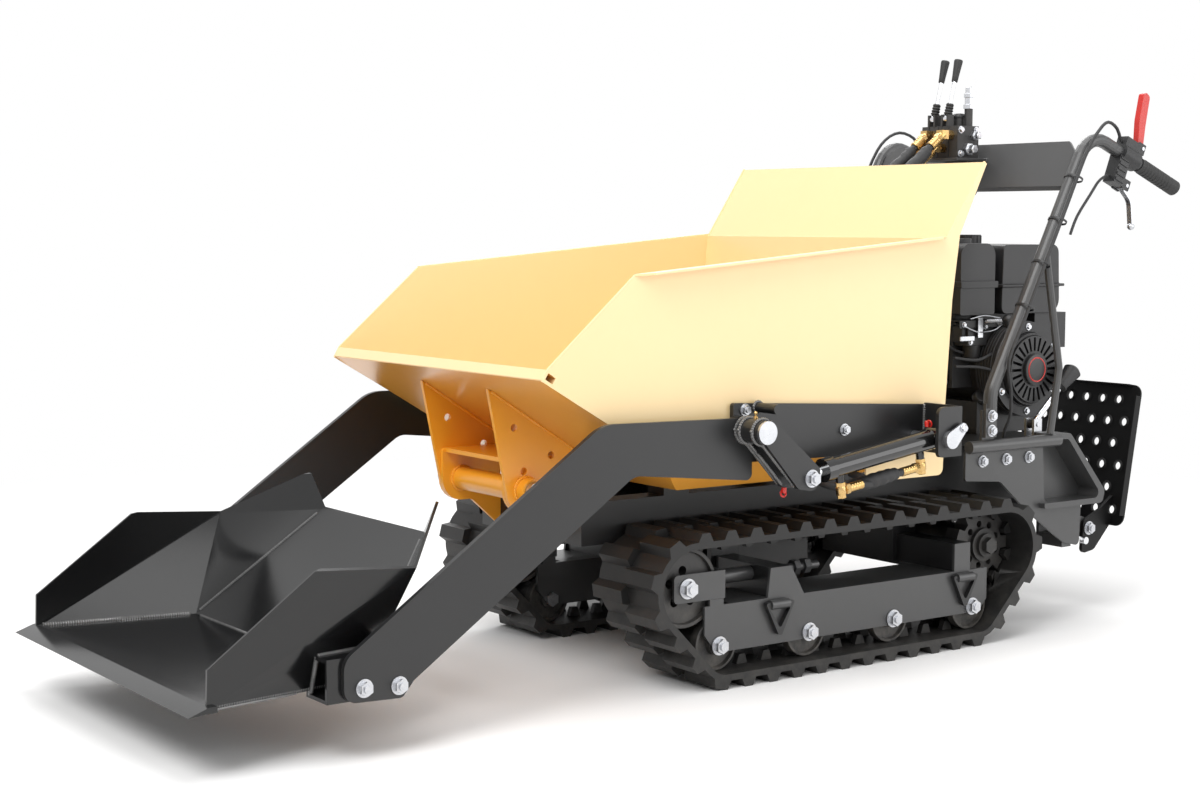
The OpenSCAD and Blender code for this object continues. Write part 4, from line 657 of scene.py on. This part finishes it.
def makePlatformRims(s):
    step = (s["height"] - 2 * s["first"]) / (s["rows"] - 1)
    r, k = np.meshgrid(np.arange(s["rows"]), np.arange(s["columns"]), indexing="ij")
    # Every second row is moved over by half a pitch
    x = (k - s["columns"] // 2) * s["pitch"] + np.where(r % 2 == 0, 0, s["pitch"] / 2)
    keep = np.abs(x) < s["width"] / 2 - s["margin"]
    x, z = x[keep], (s["first"] + r * step)[keep]
    lean = math.radians(s["lean"])
    # The sheet's own up and outward directions after the lean
    up, out = np.array((0, math.sin(lean), math.cos(lean))), np.array((0, math.cos(lean), -math.sin(lean)))
    rim = lathe(np.array(s["wall"]) + (s["hole"] / 2, 0), (0, 0, 0), -out, 20, True)
    offsets = np.array((0, *s["foot"]), float) + x[:, None] * np.array(xWay) + z[:, None] * up
    addPiece("platformRims", [copies(rim, offsets)], "platformBlack", "platform")


makePlatformRims(platformRims)

# Ribs on the fan housing, badge and badge ring, all round the engine's centre; rings are (x, radius, thickness)
recoilTrim = dict(
    centre=(644, 536), rings=[(x, 102, 1.9) for x in range(134, 175, 8)] + [(186, 80.5, 2.2), (199.5, 74, 1.6)],
    badge=((33, 0), (33, 1.2), (31, 2.0), (12, 2.8)), badgeX=211.6, badgeRing=(213.0, 25.5, 1.9),
    boltX=186, boltRing=91, boltFirst=30, bolts=6, boltSize=(10, 6, 8))


def makeRecoilTrim(s):
    cy, cz = s["centre"]
    ribs = [torus((x, cy, cz), xWay, major, minor, 64) for x, major, minor in s["rings"]]
    addPiece("engineRibs", ribs, "blackPlastic", "chassis")
    badge = lathe(s["badge"], (s["badgeX"], cy, cz), xWay, 40)
    addPiece("recoilBadge", [badge], "blackPaint", "chassis")
    x, major, minor = s["badgeRing"]
    ring = torus((x, cy, cz), xWay, major, minor, 48)
    addPiece("badgeRing", [ring], "redPlastic", "chassis")
    angle = math.radians(s["boltFirst"]) + fullTurn(s["bolts"])
    y, z = cy + s["boltRing"] * np.cos(angle), cz + s["boltRing"] * np.sin(angle)
    return copies(bolt((0, 0, 0), xWay, *s["boltSize"]), np.stack([0 * angle + s["boltX"], y, z], axis=1))


recoilBolts = makeRecoilTrim(recoilTrim)

# Carburettor, linkage, leads, fuel line, silencer guard and knobs; blocks are their lowest and highest corners
engineTrim = dict(
    carb=(((111, 498, 588), (150, 556, 636)), ((118, 486, 596), (144, 500, 630)),
          ((114, 556, 598), (146, 578, 628)), ((96, 470, 640), (152, 600, 643)),
          ((150, 470, 626), (152.5, 600, 643))),
    bowl=((19, 0), (19, 22), (15, 30), (6, 32)), bowlAt=(131, 528, 590),
    headBolts=[(x, 494, z) for x in (-88, 88) for z in (508, 618)], headBolt=(12, 7, 9),
    nuts=((150, 505, 596), (150, 549, 628), (152.5, 482, 634), (152.5, 590, 634)), nut=(8, 5, 6),
    rods=(((156, 478, 632), (158, 520, 618), (158, 566, 620), (156, 596, 632)),
          ((154, 500, 646), (156, 540, 652), (154, 590, 646))), rodRadius=1.5,
    spring=dict(start=(158, 545, 640), coils=13, radius=4, rise=0.55, wire=0.9),
    levers=(((156, 520, 606), (158.5, 534, 648)), ((153, 470, 600), (155.5, 512, 609))),
    plug=((9, 0), (9, 8), (6, 9), (6, 26), (9, 27), (9, 48), (6, 52)), plugAt=(52, 494, 566),
    plugWay=(0, -1, 0.1),
    wires=(((52, 444, 572), (70, 436, 592), (108, 452, 600), (126, 486, 578), (120, 548, 566)),
           ((150, 600, 560), (168, 560, 572), (176, 500, 560), (168, 440, 566)),
           ((150, 604, 530), (172, 560, 534), (180, 500, 545), (172, 440, 548))), wireRadius=3.2,
    fuel=((96, 600, 656), (104, 596, 640), (122, 584, 622), (130, 572, 614)), fuelRadius=4.2,
    guardBar=((-140, 0, -3), (140, 6, 3)), guardRows=[(0, 803, z) for z in range(584, 640, 11)],
    guardStays=[((x, 800, 578), (x + 6, 812, 650)) for x in (-143, -50, 44, 137)],
    pipe=((15, 0), (16, 1), (16, 26), (13.5, 26), (13.5, 4)), pipeAt=(-110, 803, 630),
    oilCap=((14, 0), (17, 2), (17, 12), (14, 16), (5, 17)), oilCapAt=(128, 556, 470),
    oilCapWay=(0.8, -0.2, 0.6),
    pull=((5, 0), (11, 5), (12, 18), (11, 26), (5, 30)), pullAt=(196, 578, 628), pullWay=(0.1, -0.5, 0.85),
    pullNeck=((9, 0), (9, 12), (5, 16)), pullNeckAt=(194, 584, 616), switch=((150, 596, 600), (176, 628, 636)))


def makeEngineTrim(s):
    carb = [block(*ends) for ends in s["carb"]] + [lathe(s["bowl"], s["bowlAt"], (0, 0, -1), 24)]
    addPiece("carburettor", carb, "castBlack", "chassis", 1.2)
    head = copies(bolt((0, 0, 0), (0, -1, 0), *s["headBolt"]), s["headBolts"])
    nuts = copies(bolt((0, 0, 0), xWay, *s["nut"]), s["nuts"])
    rods = [tube(smoothPath(p, 20), s["rodRadius"], 8) for p in s["rods"]]
    # The spring is a helix: a circle in x and z that moves on along y as it turns
    k = s["spring"]
    turn = np.linspace(0, 2 * np.pi * k["coils"], 20 * k["coils"])
    helix = np.stack([k["radius"] * np.cos(turn), turn * k["rise"], k["radius"] * np.sin(turn)], axis=1)
    spring = tube(np.array(k["start"]) + helix, k["wire"], 6, (1, 0.2, 0.1))
    bright = [recoilBolts, head, nuts] + rods + [spring] + [block(*ends) for ends in s["levers"]]
    addPiece("engineBolts", bright, "zincPlate", "chassis")
    leads = [lathe(s["plug"], s["plugAt"], s["plugWay"], 20),
             tube(smoothPath(s["fuel"], 24), s["fuelRadius"], 10)]
    leads += [tube(smoothPath(p, 40), s["wireRadius"], 8) for p in s["wires"]]
    addPiece("engineWires", leads, "hoseRubber", "chassis")
    guard = [copies(block(*s["guardBar"]), s["guardRows"])] + [block(*ends) for ends in s["guardStays"]]
    guard.append(lathe(s["pipe"], s["pipeAt"], yWay, 24))
    addPiece("silencerGuard", guard, "castBlack", "chassis", 0.8)
    knobs = [lathe(s["oilCap"], s["oilCapAt"], s["oilCapWay"], 12), block(*s["switch"]),
             lathe(s["pull"], s["pullAt"], s["pullWay"], 20),
             lathe(s["pullNeck"], s["pullNeckAt"], s["pullWay"], 16)]
    addPiece("engineKnobs", knobs, "blackPlastic", "chassis", 0.8)


makeEngineTrim(engineTrim)


def leanWay(degrees):
    # The upright direction after a lean about the machine's width
    lean = math.radians(degrees)
    return 0, -math.sin(lean), math.cos(lean)


# Bright rod over the gear lever's shaft, in the lever's own line, with a rubber collar at its top
gearRod = dict(pivot=(232, 615, 422), lean=-48, rod=((6.1, 9), (6.6, 10), (6.6, 115), (6.1, 116)),
               collar=((13.5, 112), (13.5, 116), (9, 122)))


def makeGearRod(s):
    rod, collar = (lathe(s[k], s["pivot"], leanWay(s["lean"]), 24) for k in ("rod", "collar"))
    addPiece("gearRod", [rod], "hardChrome", "gear_lever")
    addPiece("gearCollar", [collar], "gripRubber", "gear_lever")


makeGearRod(gearRod)

# Valve block: relief cartridge, plugs, tie bolts and section seams; black hand grips on its levers
# Plugs are (profile, place, direction), and ties are (y, z) on both ends of the block
valveTrim = dict(
    low=(-74, 575, 991), high=(34, 640, 1061), leverX=(-45, -5), pivot=(582, 1077), lean=-14,
    plugs=((((12, 0), (12, 9), (9, 10), (9, 24), (11, 25), (11, 33), (8, 34), (8, 46), (5, 48)),
            (20, 622, 1099), zWay),
           (((14, 0), (14, 8), (10, 9), (10, 22), (8, 24)), (34, 606, 1010), xWay),
           (((11, 0), (11, 8), (8, 9), (8, 18), (6, 20)), (34, 624, 1040), xWay)),
    ties=((584, 1000), (584, 1052), (632, 1052)), tieBolt=(11, 7, 8),
    seamX=(-54, -26, 6), seamHalf=1.2, seamRise=1.4, seamFoot=2,
    cap=((13.6, 18), (15, 19), (15, 23), (11, 28), (5, 29)), capY=618,
    grip=((6.3, 83.5), (6.6, 84), (7.2, 96), (8.2, 110), (9.5, 128), (9.6, 131), (8.6, 133), (3, 133.6)),
    bellows=dict(radius=7.0, fold=3.0, folds=4, span=(9, 34), fade=0.5, count=33))


def makeValveTrim(s):
    (x0, y0, z0), (x1, y1, z1) = s["low"], s["high"]
    plugs = [lathe(profile, place, way, 6) for profile, place, way in s["plugs"]]
    ties = [bolt((x, y, z), (math.copysign(1, x), 0, 0), *s["tieBolt"]) for x in (x0, x1) for y, z in s["ties"]]
    addPiece("valvePlugs", plugs + ties, "zincPlate", "chassis")
    half, rise, foot = s["seamHalf"], s["seamRise"], s["seamFoot"]
    seams = [block((x - half, y0 - rise, z0 + foot), (x + half, y1 + rise, z1 + rise)) for x in s["seamX"]]
    caps = [lathe(s["cap"], (x, s["capY"], z1), zWay, 24) for x in s["leverX"]]
    addPiece("valveSeams", seams + caps, "castBlack", "chassis", 0.5)
    # The bellows' radius adds the size of a sine for its folds, which fade towards the top
    b = s["bellows"]
    folds = np.abs(np.sin(np.linspace(0, b["folds"] * np.pi, b["count"])))
    radii = b["radius"] + b["fold"] * folds * np.linspace(1, b["fade"], b["count"])
    bellows = np.stack([radii, np.linspace(*b["span"], b["count"])], axis=1)
    along = leanWay(s["lean"])
    for name, x in zip(("lift", "tip"), s["leverX"]):
        pivot = (x, *s["pivot"])
        handle = [lathe(s["grip"], pivot, along, 24), lathe(bellows, pivot, along, 20)]
        addPiece("valveGrip" + name.capitalize(), handle, "gripRubber", "valve_lever_" + name)


makeValveTrim(valveTrim)

# Crimp rings on the hose ferrules at the valve, and slack woven sleeves over the hoses
# Crimps are distances along the ferrule, and sleeve is the radius, bulge and fold
hoseTrim = dict(
    portX=(-58, -34, -10, 14), portZ=(1013, 1041), elbowY=549, way=(0, -0.8, -0.6), start=47.3,
    route=((0, 0, 0), (0, -30, -26), (0, -78, -60), (0, -112, -110), (0, -128, -200), (0, -132, -320)),
    crimps=range(14, 45, 6), crimp=(10.0, 1.0), nut=((11.8, 0), (11.8, 8), (10.4, 9)), nutAt=10.5,
    sleeve=(9.6, 3.6, 0.6), drawIn=14, folds=46)


def makeHoseTrim(s):
    way = np.array(s["way"])
    route = np.array(s["route"], float)
    t = np.linspace(0, 1, 48)
    # The sleeve has a slow bulge with shallow folds, drawn in at its ends
    radius, bulge, fold = s["sleeve"]
    slack = radius + bulge * np.minimum(1, np.minimum(t, 1 - t) * s["drawIn"]) + fold * np.sin(t * s["folds"])
    rings, sleeves = [], []
    for k, x in enumerate(s["portX"]):
        elbow = np.array((x, s["elbowY"], s["portZ"][k % 2]), float)
        path = smoothPath(elbow + s["start"] * way + route, 60)[2:50]
        sleeves.append(tube(path, slack, 16, xWay))
        rings += [torus(elbow + d * way, way, *s["crimp"], 24, 6) for d in s["crimps"]]
        rings.append(lathe(s["nut"], elbow + s["nutAt"] * way, way, 6))
    addPiece("crimpRings", rings, "goldZinc", "chassis")
    addPiece("hoseSleeves", sleeves, "hoseRubber", "chassis")


makeHoseTrim(hoseTrim)

# Plastic ties that hold the control cables to the handlebar posts: ovals round the post and the cable beside it
cableTies = dict(x=300, corner=(691, 1040), rise=(143, 272), steps=(110, 210, 310, 410), shift=5.5,
                 oval=(21.5, 16.2), strap=((-0.7, -2.2), (0.7, -2.2), (0.7, 2.2), (-0.7, 2.2)), count=40)


def makeCableTies(s):
    rise = np.array(s["rise"], float) / np.linalg.norm(s["rise"])
    d = np.array((0, *rise))
    wide, deep = s["oval"]
    strap = np.array(s["strap"])
    turn = fullTurn(s["count"])[:, None]
    oval = np.array(xWay) * wide * np.cos(turn) + np.cross(d, xWay) * deep * np.sin(turn)
    out = oval / np.linalg.norm(oval, axis=1, keepdims=True)
    points = oval[:, None] + strap[None, :, :1] * out[:, None] + strap[None, :, 1:] * d
    tie = points.reshape(-1, 3), flipped(gridFaces(s["count"], len(strap), False, True))
    places = [(s["x"] + s["shift"], *(np.array(s["corner"]) - step * rise)) for step in s["steps"]]
    addPair("cableTies", copies(tie, places), "blackPlastic", "chassis")


makeCableTies(cableTies)
print("engine, valve and handlebar trim placed")

cameraSettings = dict(lens=58.82, sensor=36.0, place=(3.0840, -2.35958, 0.8447), right=(0.5818, 0.8133, 0.0),
                      back=(0.8101, -0.5795, 0.0893), roll=0.0025, reach=100)


def makeCamera(s):
    # Turns the fitted right and back vectors into a camera matrix, then rolls it about its view axis
    data = bpy.data.cameras.new("photoCamera")
    data.sensor_fit = "HORIZONTAL"
    data.sensor_width = s["sensor"]
    data.lens = s["lens"]
    data.clip_end = s["reach"]
    camera = bpy.data.objects.new("photoCamera", data)
    bpy.context.scene.collection.objects.link(camera)
    back = Vector(s["back"]).normalized()
    right = Vector(s["right"])
    right = (right - back * right.dot(back)).normalized()
    up = back.cross(right)
    turn = Matrix((right, up, back)).transposed().to_4x4()
    camera.matrix_world = Matrix.Translation(s["place"]) @ turn @ Matrix.Rotation(s["roll"], 4, "Z")
    bpy.context.scene.camera = camera


makeCamera(cameraSettings)

lamps = {
    "keySoft": dict(place=(1.5, -3.4, 4.2), aim=(0, -0.2, 0.4), size=(3.2, 2.4), power=178),
    "sideSoft": dict(place=(4.6, 0.4, 2.6), aim=(0, 0, 0.5), size=(2.8, 2.4), power=46),
    "sheenSoft": dict(place=(3.7, 3.2, 1.4), aim=(0, 0.1, 0.45), size=(2.8, 2.6), power=48),
    "backSoft": dict(place=(-3.2, 2.4, 3.6), aim=(0, 0, 0.6), size=(3.0, 2.0), power=72),
    "topSoft": dict(place=(0, 0.2, 5.2), aim=(0, 0, 0), size=(4.0, 4.0), power=146),
}


def makeLamp(name, s):
    data = bpy.data.lights.new(name, "AREA")
    data.shape = "RECTANGLE"
    data.size, data.size_y = s["size"]
    data.energy = s["power"]
    lamp = bpy.data.objects.new(name, data)
    bpy.context.scene.collection.objects.link(lamp)
    lamp.location = s["place"]
    lamp.rotation_mode = "QUATERNION"
    lamp.rotation_quaternion = (Vector(s["aim"]) - Vector(s["place"])).to_track_quat("-Z", "Y")


for name, s in lamps.items():
    makeLamp(name, s)


def lensRays(tree):
    # One for the rays of the lens and for those it sends on through glass or off metal, else zero
    path = tree.nodes.new("ShaderNodeLightPath")
    onward = mathNode(tree, "MAXIMUM", path.outputs["Is Glossy Ray"], path.outputs["Is Transmission Ray"])
    return mathNode(tree, "MAXIMUM", path.outputs["Is Camera Ray"], onward)


def mixShaders(tree, factor, a, b, outSocket):
    mix = tree.nodes.new("ShaderNodeMixShader")
    for socket, source in zip(mix.inputs, (factor, a, b)):
        link(tree, source, socket)
    link(tree, mix.outputs[0], outSocket)


studioWorld = dict(ambient=0.40, seen=1.0)


def makeWorld(s):
    # The lens and the reflections see plain white behind the object, which is lit by the ambient light
    world = bpy.data.worlds.new("studio")
    bpy.context.scene.world = world
    world.use_nodes = True
    tree = world.node_tree
    soft, white = tree.nodes["Background"], tree.nodes.new("ShaderNodeBackground")
    for node, strength in ((soft, s["ambient"]), (white, s["seen"])):
        node.inputs["Color"].default_value = (1, 1, 1, 1)
        node.inputs["Strength"].default_value = strength
    outSocket = tree.nodes["World Output"].inputs["Surface"]
    mixShaders(tree, lensRays(tree), soft.outputs[0], white.outputs[0], outSocket)


makeWorld(studioWorld)

floorPaper = dict(size=30.0, near=1.9, far=3.2, color=(0.95, 0.945, 0.94, 1), rough=0.7, spec=0.2)


def makeFloor(s):
    # A pale matt square at the ground; from near to far metres out it fades, for the lens, into white
    mesh = bpy.data.meshes.new("floor")
    corner = np.array([(-1, -1, 0), (1, -1, 0), (1, 1, 0), (-1, 1, 0)]) * s["size"]
    mesh.from_pydata(corner.tolist(), [], [(0, 1, 2, 3)])
    floor = bpy.data.objects.new("floor", mesh)
    bpy.context.scene.collection.objects.link(floor)
    material = bpy.data.materials.new("floorPaper")
    material.use_nodes = True
    tree = material.node_tree
    shader = tree.nodes["Principled BSDF"]
    shader.inputs["Base Color"].default_value = s["color"]
    shader.inputs["Roughness"].default_value = s["rough"]
    shader.inputs["Specular IOR Level"].default_value = s["spec"]
    length = tree.nodes.new("ShaderNodeVectorMath")
    length.operation = "LENGTH"
    link(tree, tree.nodes.new("ShaderNodeTexCoord").outputs["Object"], length.inputs[0])
    beyond = mathNode(tree, "SUBTRACT", length.outputs["Value"], s["near"])
    reach = mathNode(tree, "DIVIDE", beyond, s["far"] - s["near"], True)
    fade = mathNode(tree, "MULTIPLY", reach, lensRays(tree))
    white = tree.nodes.new("ShaderNodeEmission")
    outSocket = tree.nodes["Material Output"].inputs["Surface"]
    mixShaders(tree, fade, shader.outputs[0], white.outputs[0], outSocket)
    mesh.materials.append(material)


makeFloor(floorPaper)
bpy.context.scene.view_settings.view_transform = "Standard"
print("studio ready")
